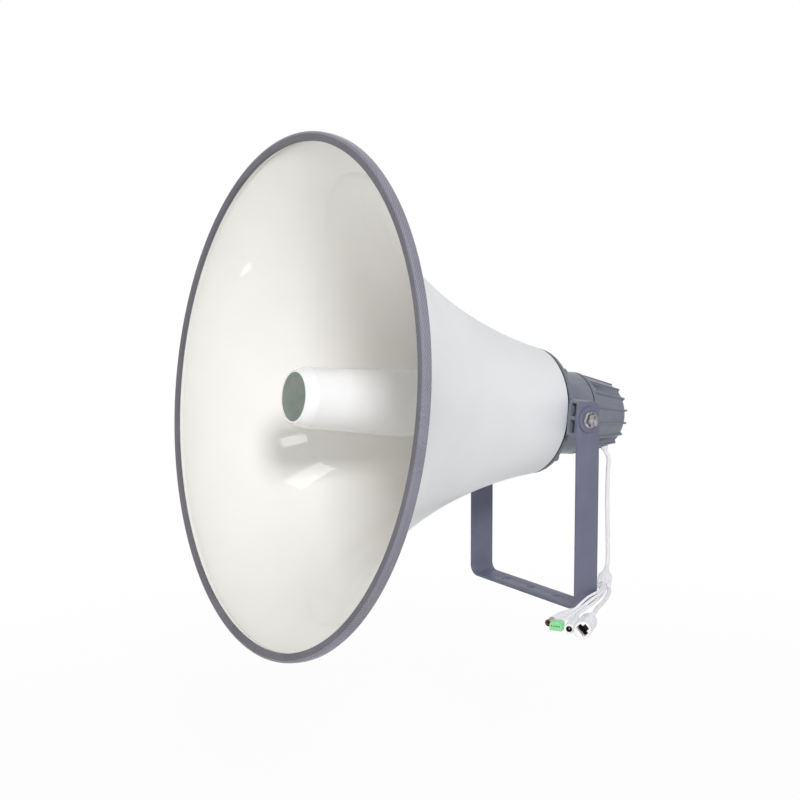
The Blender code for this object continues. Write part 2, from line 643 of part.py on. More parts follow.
def make_base_casting(horn):
    """The die-cast base: flange, neck, bosses, ribs and two cored ears."""
    casting = turned("base_casting", base_profile(), CASTING_SIDES, MATERIALS["casting_paint"], horn)
    sides = (1, -1)
    wall_middle = (NECK_RADIUS + NECK_BORE) / 2
    ears = hidden("guide_ears", merged([(ear_mesh(), Matrix.Rotation(0 if side > 0 else math.pi, 4, "Y"))
                                        for side in sides]), horn)
    cut(ears, "guide_ear_roots", [(rod_mesh(wall_middle, FLANGE_BACK + RIB_SUNK, NECK_END, CASTING_SIDES),
                                   Matrix.Identity(4))])
    combine(casting, ears, "UNION")
    join(casting, "guide_bosses", [(boss_mesh(), at_angle(BOSS_CIRCLE, a)) for a in BOSS_ANGLES])
    rib = [(wall_middle, -FLANGE_BACK - RIB_SUNK), (BOSS_CIRCLE, -FLANGE_BACK - RIB_SUNK),
           (BOSS_CIRCLE, -FLANGE_BACK + BOSS_HEIGHT * 0.5), (wall_middle, -FLANGE_BACK + RIB_REACH)]
    ribs = [(prism_mesh(rib, RIB_THICKNESS), Matrix.Rotation(-a, 4, "Y")) for a in BOSS_ANGLES]
    join(casting, "guide_ribs", ribs)
    bosses = [(rod_mesh(COVER_BOSS_RADIUS, NECK_END + COVER_BOSS_LENGTH, NECK_END + COVER_BOSS_INSET),
               at_angle(COVER_SCREW_CIRCLE, a)) for a in COVER_ANGLES]
    join(casting, "guide_inner_bosses", bosses, "MANIFOLD")
    cut(casting, "guide_pockets", pocket_meshes(1) + pocket_meshes(-1), "MANIFOLD")
    boss_root = EAR_END - POCKET_END_WALL - POCKET_WIDTH - PIVOT_BOSS_ROOT
    boss_tip = EAR_END - CASTING_EDGE
    pivot_bosses = [(rod_mesh(PIVOT_BOSS_RADIUS, boss_tip, boss_root, PIVOT_SIDES), across(side))
                    for side in sides]
    join(casting, "guide_pivot_bosses", pivot_bosses, "MANIFOLD")
    hole_end = STRAP_OUTER - PIVOT_BOLT_GRIP - OVERCUT
    cut(casting, "guide_pivot_holes",
        [(rod_mesh(PIVOT_BOLT_RADIUS + SCREW_CLEARANCE, STRAP_OUTER, hole_end, PIVOT_SIDES), across(side))
         for side in sides], "MANIFOLD")
    screw_end = NECK_END + COVER_SCREW_GRIP + SCREW_TIP_SPACE
    holes = [screw_hole(FLANGE_SCREW, FLANGE_FRONT + OVERCUT, FLANGE_SCREW_END - SCREW_TIP_SPACE,
                        BOSS_CIRCLE, a) for a in BOSS_ANGLES]
    holes += [screw_hole(THROAT_SCREW, LAND_FRONT + OVERCUT, THROAT_SCREW_END - THROAT_TIP_SPACE,
                         THROAT_SCREW_CIRCLE, a) for a in THIRD_ANGLES]
    holes += [screw_hole(DRIVER_SCREW, DRIVER_SCREW_END + THROAT_TIP_SPACE, FLANGE_BACK - OVERCUT / 2,
                         DRIVER_SCREW_CIRCLE, a) for a in THIRD_ANGLES]
    holes += [screw_hole(COVER_SCREW, screw_end, NECK_END - OVERCUT, COVER_SCREW_CIRCLE, a)
              for a in COVER_ANGLES]
    cut(casting, "guide_casting_holes", holes, "MANIFOLD")
    return casting


def cover_radius(s):
    """Outer radius of the cover's cone at station s."""
    start_radius = NECK_RADIUS - COVER_SHOULDER
    share = (s - COVER_CONE_START) / (COVER_END - COVER_CONE_START)
    return start_radius + (COVER_END_RADIUS - start_radius) * share


def make_rear_cover(horn):
    """The rear cover: a tapered pot with fins and four channels that reach its screws."""
    rim_end = COVER_FRONT - COVER_RIM
    inner_floor = COVER_REAR + COVER_WALL
    profile = [(0, COVER_FRONT), (NECK_RADIUS, COVER_FRONT), (NECK_RADIUS, rim_end),
               (cover_radius(COVER_CONE_START), COVER_CONE_START), (COVER_END_RADIUS, COVER_END),
               (COVER_END_RADIUS - CASTING_EDGE, COVER_END - COVER_CHAMFER * 0.55),
               (COVER_FACE_RADIUS, COVER_REAR), (COVER_DISH_RADIUS, COVER_REAR),
               (COVER_DISH_RADIUS - CASTING_EDGE, COVER_REAR + COVER_DISH_DEPTH),
               (0, COVER_REAR + COVER_DISH_DEPTH)]
    cover = turned("rear_cover", profile, CASTING_SIDES, MATERIALS["casting_paint"], horn)
    hollow = [(0, COVER_FRONT + OVERCUT), (NECK_BORE, COVER_FRONT + OVERCUT), (NECK_BORE, COVER_FRONT),
              (cover_radius(COVER_CONE_START) - COVER_WALL, COVER_CONE_START),
              (COVER_END_RADIUS - COVER_WALL, COVER_END + CASTING_EDGE),
              (COVER_FACE_RADIUS - COVER_WALL, inner_floor), (0, inner_floor)]
    cavity = hidden("guide_cavity", turned_mesh(hollow, CASTING_SIDES), horn)
    lining = CHANNEL_RADIUS + CHANNEL_WALL
    linings = [(rod_mesh(lining, COVER_FRONT - COVER_BOSS_INSET, COVER_REAR - OVERCUT, HOLE_SIDES),
                at_angle(COVER_SCREW_CIRCLE, a)) for a in COVER_ANGLES]
    cut(cavity, "guide_linings", linings)
    combine(cover, cavity, "DIFFERENCE")
    sunk = COVER_WALL / 2
    fin_start, fin_end = COVER_CONE_START - FIN_START_INSET, COVER_REAR - FIN_OVERHANG
    foot = COVER_FACE_RADIUS - FIN_FOOT_INSET
    fin = [(cover_radius(fin_start) - sunk, -fin_start),
           (cover_radius(fin_start) + FIN_START_HEIGHT, -fin_start),
           (cover_radius(fin_end) + FIN_END_HEIGHT, -fin_end), (foot, -fin_end),
           (foot, -COVER_REAR - FIN_FOOT), (COVER_END_RADIUS - sunk, -COVER_END)]
    fins = [(prism_mesh(fin, FIN_THICKNESS), Matrix.Rotation(-COVER_TURN - (i + 0.5) * FIN_STEP, 4, "Y"))
            for i in range(FIN_STATIONS)]
    join(cover, "guide_fins", fins)
    open_side, length = NECK_RADIUS + OVERCUT, COVER_SEAT - COVER_REAR + 2 * OVERCUT
    outline = arc_points((COVER_SCREW_CIRCLE, 0), CHANNEL_RADIUS, 90, 270, 7)
    outline += [(open_side, -CHANNEL_RADIUS), (open_side, CHANNEL_RADIUS)]
    upright = Matrix.Translation((0, length / 2 - COVER_SEAT, 0)) @ Matrix.Rotation(math.pi / 2, 4, "X")
    cut(cover, "guide_channels", [(prism_mesh(outline, length), Matrix.Rotation(-a, 4, "Y") @ upright)
                                  for a in COVER_ANGLES], "MANIFOLD")
    cut(cover, "guide_cover_holes",
        [screw_hole(COVER_SCREW, COVER_FRONT + OVERCUT, COVER_SEAT - OVERCUT, COVER_SCREW_CIRCLE, a)
         for a in COVER_ANGLES], "MANIFOLD")
    grommet_hole = rod_mesh(GROMMET_NECK_RADIUS + GAP, 3 * OVERCUT, -COVER_WALL - OVERCUT, HOLE_SIDES)
    cut(cover, "guide_grommet_hole", [(grommet_hole, grommet_frame())], "MANIFOLD")
    for number, angle in enumerate(COVER_ANGLES, 1):
        screw = screw_profile(COVER_SCREW, COVER_SEAT - GAP, NECK_END + COVER_SCREW_GRIP)
        turned(f"cover_screw_{number}", screw, SCREW_SIDES, MATERIALS["zinc"], horn,
               at_angle(COVER_SCREW_CIRCLE, angle))


def make_cover_seal(horn):
    """The dark ring at the seam, a little below the castings' outside."""
    outer = NECK_RADIUS - SEAL_DEPTH
    front, back = NECK_END - GAP, COVER_FRONT + GAP
    profile = [(NECK_BORE, back), (outer, back), (outer, front), (NECK_BORE, front)]
    seal = turned("cover_seal", profile, CASTING_SIDES, MATERIALS["rubber"], horn)
    holes = [screw_hole(COVER_SCREW, front + OVERCUT, back - OVERCUT, COVER_SCREW_CIRCLE, a)
             for a in COVER_ANGLES]
    cut(seal, "guide_seal_holes", holes)


def make_driver(horn):
    """The compression driver, stacked behind the casting's front wall."""
    plug_front = FLANGE_BACK - GAP
    plug_back = plug_front - PLUG_THICKNESS
    dome_edge = plug_back - DOME_CLEARANCE
    crown = DOME_HEIGHT
    recess = [(DOME_RADIUS * math.sin(a), plug_back + crown * math.cos(a))
              for a in [math.radians(90 - 22.5 * i) for i in range(5)]]
    plug = [(0, PLUG_TIP)] + [(r, PLUG_TIP - drop) for r, drop in PLUG_NOSE] + [
        (PLUG_CORE_RADIUS, plug_front), (PLUG_RADIUS, plug_front), (PLUG_RADIUS, plug_back)] + recess
    phase_plug = turned("phase_plug", plug, DRIVER_SIDES, MATERIALS["black_plastic"], horn)
    slot_start = PLUG_CORE_RADIUS + PLUG_SLOT_INSET
    half = PLUG_SLOT_WIDTH / 2
    low, high = (slot_start, -plug_front - OVERCUT, -half), (PLUG_SLOT_END, -plug_back + OVERCUT, half)
    slots = [(box_mesh(low, high), Matrix.Rotation(math.tau * (i + 0.5) / PLUG_SLOT_COUNT, 4, "Y"))
             for i in range(PLUG_SLOT_COUNT)]
    cut(phase_plug, "guide_plug_slots", slots)

    angles = [math.radians(90 - 22.5 * i) for i in range(5)]
    dome_outer = [(DOME_RADIUS * math.sin(a), dome_edge + crown * math.cos(a)) for a in angles]
    dome_inner = [(r, s - DOME_THICKNESS) for r, s in dome_outer[::-1]]
    turned("diaphragm", dome_outer + dome_inner, DRIVER_SIDES, MATERIALS["film"], horn)
    coil_front = dome_edge - DOME_THICKNESS - GAP
    coil_inner = POLE_RADIUS + COIL_CLEARANCE
    coil = [(coil_inner, coil_front - COIL_LENGTH), (coil_inner + COIL_WALL, coil_front - COIL_LENGTH),
            (coil_inner + COIL_WALL, coil_front), (coil_inner, coil_front)]
    turned("voice_coil", coil, DRIVER_SIDES, MATERIALS["copper"], horn)

    clamp_front = plug_back - GAP
    clamp_back = clamp_front - SURROUND_THICKNESS
    clamp_inner = PLUG_RADIUS - SURROUND_CLAMP_WIDTH
    middle = (SURROUND_INNER + clamp_inner) / 2
    roll = SURROUND_ROLL
    surround = [(SURROUND_INNER, clamp_front), (middle, clamp_front - roll), (clamp_inner, clamp_front),
                (PLUG_RADIUS - GAP, clamp_front), (PLUG_RADIUS - GAP, clamp_back), (clamp_inner, clamp_back),
                (middle, clamp_back - roll), (SURROUND_INNER, clamp_back)]
    turned("surround", surround, DRIVER_SIDES, MATERIALS["film"], horn)

    lip_front = clamp_back - GAP
    ring_back = lip_front - CLAMP_LIP_THICKNESS
    ring_inner = PLUG_RADIUS + GAP
    ring = [(ring_inner, plug_front), (CLAMP_RADIUS, plug_front), (CLAMP_RADIUS, ring_back),
            (clamp_inner, ring_back), (clamp_inner, lip_front), (ring_inner, lip_front)]
    clamp_ring = turned("clamp_ring", ring, DRIVER_SIDES, MATERIALS["black_plastic"], horn)
    plate_front = ring_back - GAP
    plate_back = plate_front - TOP_PLATE_THICKNESS
    plate = [(MAGNET_GAP_OUTER, plate_front), (CLAMP_RADIUS, plate_front), (CLAMP_RADIUS, plate_back),
             (MAGNET_GAP_OUTER, plate_back)]
    top_plate = turned("top_plate", plate, DRIVER_SIDES, MATERIALS["zinc"], horn)
    for piece in (clamp_ring, top_plate):
        cut(piece, f"guide_{piece.name}_holes",
            [screw_hole(DRIVER_SCREW, plug_front + OVERCUT, plate_back - OVERCUT, DRIVER_SCREW_CIRCLE, a)
             for a in THIRD_ANGLES])
    for number, angle in enumerate(THIRD_ANGLES, 1):
        profile = screw_profile(DRIVER_SCREW, plate_back - GAP, DRIVER_SCREW_END)
        turned(f"driver_screw_{number}", profile, SCREW_SIDES, MATERIALS["zinc"], horn,
               at_angle(DRIVER_SCREW_CIRCLE, angle))

    magnet_front = plate_back - GAP
    magnet_back = magnet_front - MAGNET_THICKNESS
    magnet = [(MAGNET_INNER, magnet_front), (MAGNET_RADIUS, magnet_front), (MAGNET_RADIUS, magnet_back),
              (MAGNET_INNER, magnet_back)]
    turned("magnet", magnet, DRIVER_SIDES, MATERIALS["ferrite"], horn)
    yoke_front = magnet_back - GAP
    yoke_back = yoke_front - BACK_PLATE_THICKNESS
    pole_top = plate_front - POLE_TOP_DROP
    yoke = [(0, pole_top), (POLE_RADIUS, pole_top), (POLE_RADIUS, yoke_front),
            (BACK_PLATE_RADIUS, yoke_front), (BACK_PLATE_RADIUS, yoke_back), (0, yoke_back)]
    turned("back_plate", yoke, DRIVER_SIDES, MATERIALS["zinc"], horn)
    return yoke_back


def make_amplifier(horn, driver_back):
    """The board behind the driver, on three standoffs, with its two tall parts."""
    front = driver_back - GAP
    board_front = front - STANDOFF_LENGTH - GAP
    board_back = board_front - BOARD_THICKNESS
    for number, angle in enumerate(THIRD_ANGLES, 1):
        post = rod_mesh(STANDOFF_RADIUS, front, board_front + GAP, 6)
        place = at_angle(STANDOFF_CIRCLE, angle)
        finish_mesh(f"board_standoff_{number}", post, MATERIALS["brass"], horn, place)
    board = [(0, board_front), (BOARD_RADIUS, board_front), (BOARD_RADIUS, board_back), (0, board_back)]
    turned("amplifier_board", board, DRIVER_SIDES, MATERIALS["board"], horn)
    width, depth, height = TRANSFORMER_SIZE
    low = (-width / 2, -board_back + GAP, -height / 2)
    high = (width / 2, -board_back + GAP + depth, height / 2)
    finish_mesh("line_transformer", box_mesh(low, high), MATERIALS["ferrite"], horn)
    can = rod_mesh(CAPACITOR_RADIUS, board_back - GAP, board_back - GAP - CAPACITOR_LENGTH, HOLE_SIDES)
    finish_mesh("board_capacitor", can, MATERIALS["black_plastic"], horn,
                Matrix.Translation((-CAPACITOR_CIRCLE, 0, 0)))


def grommet_frame():
    """Frame on the cover's cone where the cable leaves; its -Y axis points out of the cone."""
    radius = cover_radius(GROMMET_STATION)
    lean = math.atan2(cover_radius(COVER_CONE_START) - COVER_END_RADIUS, COVER_CONE_START - COVER_END)
    outward = Vector((math.cos(lean), math.sin(lean), 0))
    turn = Matrix.Rotation(-GROMMET_ANGLE, 4, "Y")
    place = turn @ Matrix.Translation((radius, -GROMMET_STATION, 0))
    return place @ outward.rotation_difference(Vector((0, -1, 0))).inverted().to_matrix().to_4x4()


def make_grommet(horn):
    """Rubber grommet with a short sleeve, seated in the cover's wall."""
    seat = GAP * 2
    nose = seat + GROMMET_FLANGE + GROMMET_NOSE
    profile = [(GROMMET_BORE, -GROMMET_SPIGOT), (GROMMET_NECK_RADIUS, -GROMMET_SPIGOT),
               (GROMMET_NECK_RADIUS, seat), (GROMMET_FLANGE_RADIUS, seat),
               (GROMMET_FLANGE_RADIUS, seat + GROMMET_FLANGE), (GROMMET_BORE + GROMMET_LIP, nose),
               (GROMMET_BORE, nose)]
    turned("cable_grommet", profile, HOLE_SIDES, MATERIALS["cable_white"], horn, grommet_frame())
    return nose


def make_bracket():
    """The U bracket, folded from flat strap, with bolt holes in its base and pivot holes."""
    top = PIVOT_HEIGHT + STRAP_OVER_PIVOT
    outer_bend = BEND_INNER_RADIUS + STRAP_THICKNESS
    centre = (STRAP_INNER - BEND_INNER_RADIUS, outer_bend)
    right_outer = arc_points(centre, outer_bend, -90, 0, 6) + [(STRAP_OUTER, top)]
    right_inner = [(STRAP_INNER, top)] + arc_points(centre, BEND_INNER_RADIUS, 0, -90, 6)
    left_inner = [(-x, z) for x, z in right_inner[::-1]]
    left_outer = [(-x, z) for x, z in right_outer[::-1]]
    bm = prism_mesh(right_outer + right_inner + left_inner + left_outer, STRAP_WIDTH)
    bm.transform(Matrix.Rotation(math.pi / 2, 4, "X"))
    bm.edges.ensure_lookup_table()
    ends = [e for e in bm.edges if all(abs(v.co.z - top) < 1e-6 for v in e.verts)
            and abs(e.verts[0].co.y - e.verts[1].co.y) < 1e-6]
    bmesh.ops.bevel(bm, geom=ends, offset=STRAP_END_RADIUS, segments=5, affect="EDGES", profile=0.5)
    bracket = finish_mesh("u_bracket", bm, MATERIALS["bracket_paint"])
    flat = Matrix.Rotation(math.pi / 2, 4, "X")
    through = STRAP_THICKNESS + OVERCUT
    base_holes = [(rod_mesh(BASE_HOLE_RADIUS, through, -through, PIVOT_SIDES),
                   Matrix.Translation((i * BASE_HOLE_PITCH, 0, 0)) @ flat) for i in (-1, 0, 1)]
    raised = Matrix.Translation((0, 0, PIVOT_HEIGHT))
    pivot_hole = PIVOT_BOLT_RADIUS + 2 * SCREW_CLEARANCE
    pivot_holes = [(rod_mesh(pivot_hole, STRAP_OUTER + OVERCUT, STRAP_INNER - OVERCUT, PIVOT_SIDES),
                    raised @ across(side)) for side in (1, -1)]
    cut(bracket, "guide_bracket_holes", base_holes + pivot_holes)


def ring_profile(inner, outer, start, end):
    """A flat ring between two stations."""
    return [(inner, start), (outer, start), (outer, end), (inner, end)]


def make_pivot_hardware(horn):
    """A flanged hex bolt, a large washer and a friction washer on each side."""
    hole = PIVOT_BOLT_RADIUS + SCREW_CLEARANCE
    washer_in = STRAP_OUTER + GAP
    washer_out = washer_in + PIVOT_WASHER_THICKNESS
    seat = washer_out + GAP
    flange = seat + PIVOT_HEAD_FLANGE_THICKNESS
    head = [(0, STRAP_OUTER - PIVOT_BOLT_GRIP), (PIVOT_BOLT_RADIUS, STRAP_OUTER - PIVOT_BOLT_GRIP),
            (PIVOT_BOLT_RADIUS, seat), (PIVOT_HEAD_FLANGE_RADIUS, seat),
            (PIVOT_HEAD_FLANGE_RADIUS, flange - PIVOT_HEAD_EDGE), (PIVOT_HEX_WIDTH * 0.56, flange),
            (0, flange)]
    friction_in = STRAP_INNER - GAP - FRICTION_WASHER_THICKNESS
    for word, side in (("left", -1), ("right", 1)):
        bolt = turned(f"pivot_bolt_{word}", head, PIVOT_SIDES, MATERIALS["zinc"], horn, across(side))
        hex_radius = PIVOT_HEX_WIDTH / math.sqrt(3)
        hexagon = rod_mesh(hex_radius, flange - PIVOT_HEX_SUNK, flange + PIVOT_HEX_HEIGHT, 6)
        join(bolt, f"guide_hex_{word}", [(hexagon, across(side))])
        washer = ring_profile(hole, PIVOT_WASHER_RADIUS, washer_in, washer_out)
        turned(f"pivot_washer_{word}", washer, PIVOT_SIDES, MATERIALS["bracket_paint"], horn, across(side))
        pad = ring_profile(hole, FRICTION_WASHER_RADIUS, friction_in, STRAP_INNER - GAP)
        turned(f"friction_washer_{word}", pad, PIVOT_SIDES, MATERIALS["rubber"], horn, across(side))


# Breakout cable: everything past the grommet lies beside and on the bracket's mounting plane
SPLITTER_TOP = Vector((0.0360, 0.0800, 0.0205))
SPLITTER_BOTTOM = Vector((0.0500, 0.0640, 0.0075))
SPLITTER_HALF_WIDTH = 0.0080
SPLITTER_HALF_DEPTH = 0.0040
SPLITTER_NECK_WALL = 0.0008
SPLITTER_NECK_LENGTH = 0.003
SPLITTER_NECK_TAPER = 0.0004
SPLITTER_SHOULDER = 0.0105
SPLITTER_EDGE = 0.002
SPLITTER_EDGE_WIDTH = 0.0006
SPLITTER_EDGE_DEPTH = 0.0010
SPLITTER_ENTRY = 0.007
TAIL_SPREAD = 1.15
TAIL_STRAIGHT = 0.006
TRUNK_ROUTE = [(0.0205, 0.0946, 0.1430), (0.0225, 0.0921, 0.1300), (0.0240, 0.0904, 0.1000),
               (0.0260, 0.0897, 0.0650), (0.0300, 0.0872, 0.0350)]


def smooth_route(points, spacing):
    """Points along a smooth curve through a route, at about the spacing given."""
    route = [Vector(p) for p in points]
    route = [2 * route[0] - route[1]] + route + [2 * route[-1] - route[-2]]
    result = [route[1]]
    for before, start, end, after in zip(route, route[1:], route[2:], route[3:]):
        count = max(1, round((end - start).length / spacing))
        for i in range(1, count + 1):
            t = i / count
            result.append(0.5 * (2 * start + (end - before) * t
                                 + (2 * before - 5 * start + 4 * end - after) * t ** 2
                                 + (3 * start - before - 3 * end + after) * t ** 3))
    return result


def make_cord(name, points, radius, material):
    """A round cable along a smooth route, with filled ends."""
    curve = bpy.data.curves.new(name, "CURVE")
    curve.dimensions = "3D"
    curve.bevel_depth = radius
    curve.bevel_resolution = 2
    curve.use_fill_caps = True
    route = smooth_route(points, radius * 5)
    spline = curve.splines.new("POLY")
    spline.points.add(len(route) - 1)
    for point, place in zip(spline.points, route):
        point.co = (*place, 1.0)
    curve.materials.append(material)
    obj = bpy.data.objects.new(name, curve)
    bpy.context.scene.collection.objects.link(obj)
    return obj


def axis_frame(place, direction):
    """Frame at a place whose -Y axis points along a direction and whose Z axis is nearest to up."""
    y_axis = -Vector(direction).normalized()
    x_axis = y_axis.cross(Vector((0, 0, 1))).normalized()
    z_axis = x_axis.cross(y_axis)
    frame = Matrix((x_axis, y_axis, z_axis)).transposed().to_4x4()
    frame.translation = place
    return frame


def oval_mesh(stations, sides=HOLE_SIDES):
    """Loft ovals given as (s, half width, half depth), closed at both ends."""
    bm = bmesh.new()
    rings = []
    for s, width, depth in stations:
        angles = [math.tau * i / sides for i in range(sides)]
        rings.append([bm.verts.new((width * math.cos(a), -s, depth * math.sin(a))) for a in angles])
    for near, far in zip(rings, rings[1:]):
        for i in range(sides):
            bm.faces.new((near[i], near[(i + 1) % sides], far[(i + 1) % sides], far[i]))
    bm.faces.new(rings[0])
    bm.faces.new(rings[-1][::-1])
    return bm


def make_splitter():
    """The moulded block where the trunk divides into four tails."""
    along = SPLITTER_BOTTOM - SPLITTER_TOP
    length = along.length
    neck = TRUNK_RADIUS + SPLITTER_NECK_WALL
    swell = neck + SPLITTER_NECK_TAPER
    width, depth = SPLITTER_HALF_WIDTH, SPLITTER_HALF_DEPTH
    stations = [(0, neck, neck), (SPLITTER_NECK_LENGTH, swell, swell), (SPLITTER_SHOULDER, width, depth),
                (length - SPLITTER_EDGE, width, depth),
                (length, width - SPLITTER_EDGE_WIDTH, depth - SPLITTER_EDGE_DEPTH)]
    frame = axis_frame(SPLITTER_TOP, along)
    finish_mesh("cable_splitter", oval_mesh(stations), MATERIALS["cable_white"], None, frame)
    return frame, length


class Connector:
    """A connector lying on the mounting plane: its front, its heading and its length."""

    def __init__(self, front, heading, length, height):
        self.heading = math.radians(heading)
        self.direction = Vector((math.cos(self.heading), math.sin(self.heading), 0))
        self.front = Vector((*front, height))
        self.length = length
        self.frame = axis_frame(self.front - self.direction * length, self.direction)
        self.rear = self.front - self.direction * length


# How far a connector clears the mounting plane, and how thick and round the mouldings are
PLANE_CLEARANCE = 0.0002
BOOT_WALL = 0.0008
BOOT_GROWTH = 0.0004
MOULDED_EDGE = 0.0008
NETWORK_RADIUS = 0.0086
NETWORK_CABLE = 0.0022
NETWORK_BOOT = 0.018
NETWORK_BOOT_END = 0.0057
NETWORK_SHOULDER = 0.0045
NETWORK = Connector((0.1757, -0.0745), -51.4, 0.0570, NETWORK_RADIUS + PLANE_CLEARANCE)
PORT_WIDTH = 0.0118
PORT_HEIGHT = 0.0068
PORT_KEY_WIDTH = 0.0060
PORT_KEY_HEIGHT = 0.0034
PORT_DEPTH = 0.012
PORT_ROLL = math.radians(48)
POWER_RADIUS = 0.0051
POWER_CABLE = 0.0016
POWER_BOOT = 0.016
POWER_SHOULDER = 0.003
POWER_PIN_TIP = 0.0016
POWER = Connector((0.1560, -0.0745), -49.5, 0.0520, POWER_RADIUS + PLANE_CLEARANCE)
POWER_BORE = 0.0031
POWER_BORE_DEPTH = 0.011
POWER_PIN_RADIUS = 0.00105
BLOCK_PLUG_WIDTH = 0.0124
BLOCK_PLUG_HEIGHT = 0.0090
BLOCK_PLUG_DEPTH = 0.0095
BLOCK_WAYS = 4
BLOCK_CHAMFER = 0.0018
BLOCK_SOCKET = 0.0008
BLOCK_SOCKET_DEPTH = 0.005
BLOCK_SLEEVE_HEIGHT = 0.0040
BLOCK_SLEEVE_RADIUS = 0.0034
BLOCK_SLEEVE_LENGTH = 0.016
TERMINAL_CABLE = 0.0018
TERMINAL = Connector((0.1400, -0.0785), -58, BLOCK_PLUG_DEPTH, BLOCK_PLUG_HEIGHT / 2 + PLANE_CLEARANCE)
PHONO_SLEEVE_RADIUS = 0.0037
PHONO_SLEEVE_LENGTH = 0.0095
PHONO_SLEEVE_WALL = 0.0006
PHONO_RING = 0.0004
PHONO_RING_LENGTH = 0.0015
PHONO_FLOOR = 0.0012
PHONO_INSERT_BORE = 0.0016
PHONO_INSERT_INSET = 0.0008
PHONO_BOOT_MIDDLE = 0.0042
PHONO_COLLAR_RADIUS = 0.0044
PHONO_BOOT_LENGTH = 0.046
PHONO_CABLE = 0.0014
PHONO = Connector((0.1262, -0.0768), -66, PHONO_SLEEVE_LENGTH, PHONO_COLLAR_RADIUS + PLANE_CLEARANCE)


def make_tail(name, splitter, offset, waypoints, end, heading, radius):
    """One tail from the splitter's end to the rear of its connector."""
    frame, length = splitter
    start = frame @ Vector((offset, -(length + GAP), 0))
    leave = frame @ Vector((offset * TAIL_SPREAD, -(length + TAIL_STRAIGHT), 0))
    stop = end - heading * GAP
    points = [start, leave] + [Vector(p) for p in waypoints] + [stop - heading * TAIL_STRAIGHT, stop]
    make_cord(name, points, radius, MATERIALS["cable_white"])


def make_network_coupler(splitter):
    """Round network coupler with a keyed port and a tapered boot."""
    boot, shoulder = NETWORK_BOOT, NETWORK_BOOT + NETWORK_SHOULDER
    root = NETWORK_CABLE + BOOT_WALL
    stations = [(0, root), (boot * 0.3, root + BOOT_GROWTH), (boot, NETWORK_BOOT_END),
                (shoulder - MOULDED_EDGE, NETWORK_RADIUS - MOULDED_EDGE), (shoulder, NETWORK_RADIUS),
                (NETWORK.length - MOULDED_EDGE, NETWORK_RADIUS),
                (NETWORK.length, NETWORK_RADIUS - MOULDED_EDGE)]
    profile = [(0, 0)] + [(r, s) for s, r in stations] + [(0, NETWORK.length)]
    coupler = turned("network_coupler", profile, PIVOT_SIDES, MATERIALS["cable_white"], None, NETWORK.frame)
    half, low = PORT_WIDTH / 2, -PORT_HEIGHT / 2
    outline = [(-half, low), (half, low), (half, -low), (PORT_KEY_WIDTH / 2, -low),
               (PORT_KEY_WIDTH / 2, -low + PORT_KEY_HEIGHT), (-PORT_KEY_WIDTH / 2, -low + PORT_KEY_HEIGHT),
               (-PORT_KEY_WIDTH / 2, -low), (-half, -low)]
    port = prism_mesh(outline, 2 * PORT_DEPTH)
    place = (NETWORK.frame @ Matrix.Translation((0, -NETWORK.length, 0)) @ Matrix.Rotation(PORT_ROLL, 4, "Y")
             @ Matrix.Rotation(math.pi / 2, 4, "X"))
    cut(coupler, "guide_port", [(port, place)])
    route = [(0.0735, 0.0515, 0.0075), (0.0930, 0.0310, 0.0085), (0.1080, 0.0120, 0.0085),
             (0.1240, -0.0100, 0.0090)]
    make_tail("network_tail", splitter, 0.0052, route, NETWORK.rear, NETWORK.direction, NETWORK_CABLE)


def make_power_jack(splitter):
    """Round direct-current socket with its centre pin."""
    boot = POWER_BOOT
    root = POWER_CABLE + BOOT_WALL
    front = POWER.length
    floor = front - POWER_BORE_DEPTH
    profile = [(0, 0), (root, 0), (root + BOOT_GROWTH, boot * 0.6), (POWER_RADIUS - BOOT_WALL, boot),
               (POWER_RADIUS, boot + POWER_SHOULDER), (POWER_RADIUS, front - MOULDED_EDGE),
               (POWER_RADIUS - MOULDED_EDGE, front), (POWER_BORE, front), (POWER_BORE, floor), (0, floor)]
    turned("power_jack", profile, HOLE_SIDES, MATERIALS["cable_white"], None, POWER.frame)
    pin_base = floor + GAP
    tip = front - POWER_PIN_TIP
    pin = [(0, pin_base), (POWER_PIN_RADIUS, pin_base), (POWER_PIN_RADIUS, tip - POWER_PIN_RADIUS / 2),
           (POWER_PIN_RADIUS / 2, tip), (0, tip)]
    turned("power_pin", pin, SCREW_SIDES, MATERIALS["nickel"], None, POWER.frame)
    route = [(0.0700, 0.0480, 0.0100), (0.0880, 0.0300, 0.0115), (0.0995, 0.0140, 0.0110),
             (0.1075, -0.0040, 0.0080)]
    make_tail("power_tail", splitter, 0.0010, route, POWER.rear, POWER.direction, POWER_CABLE)


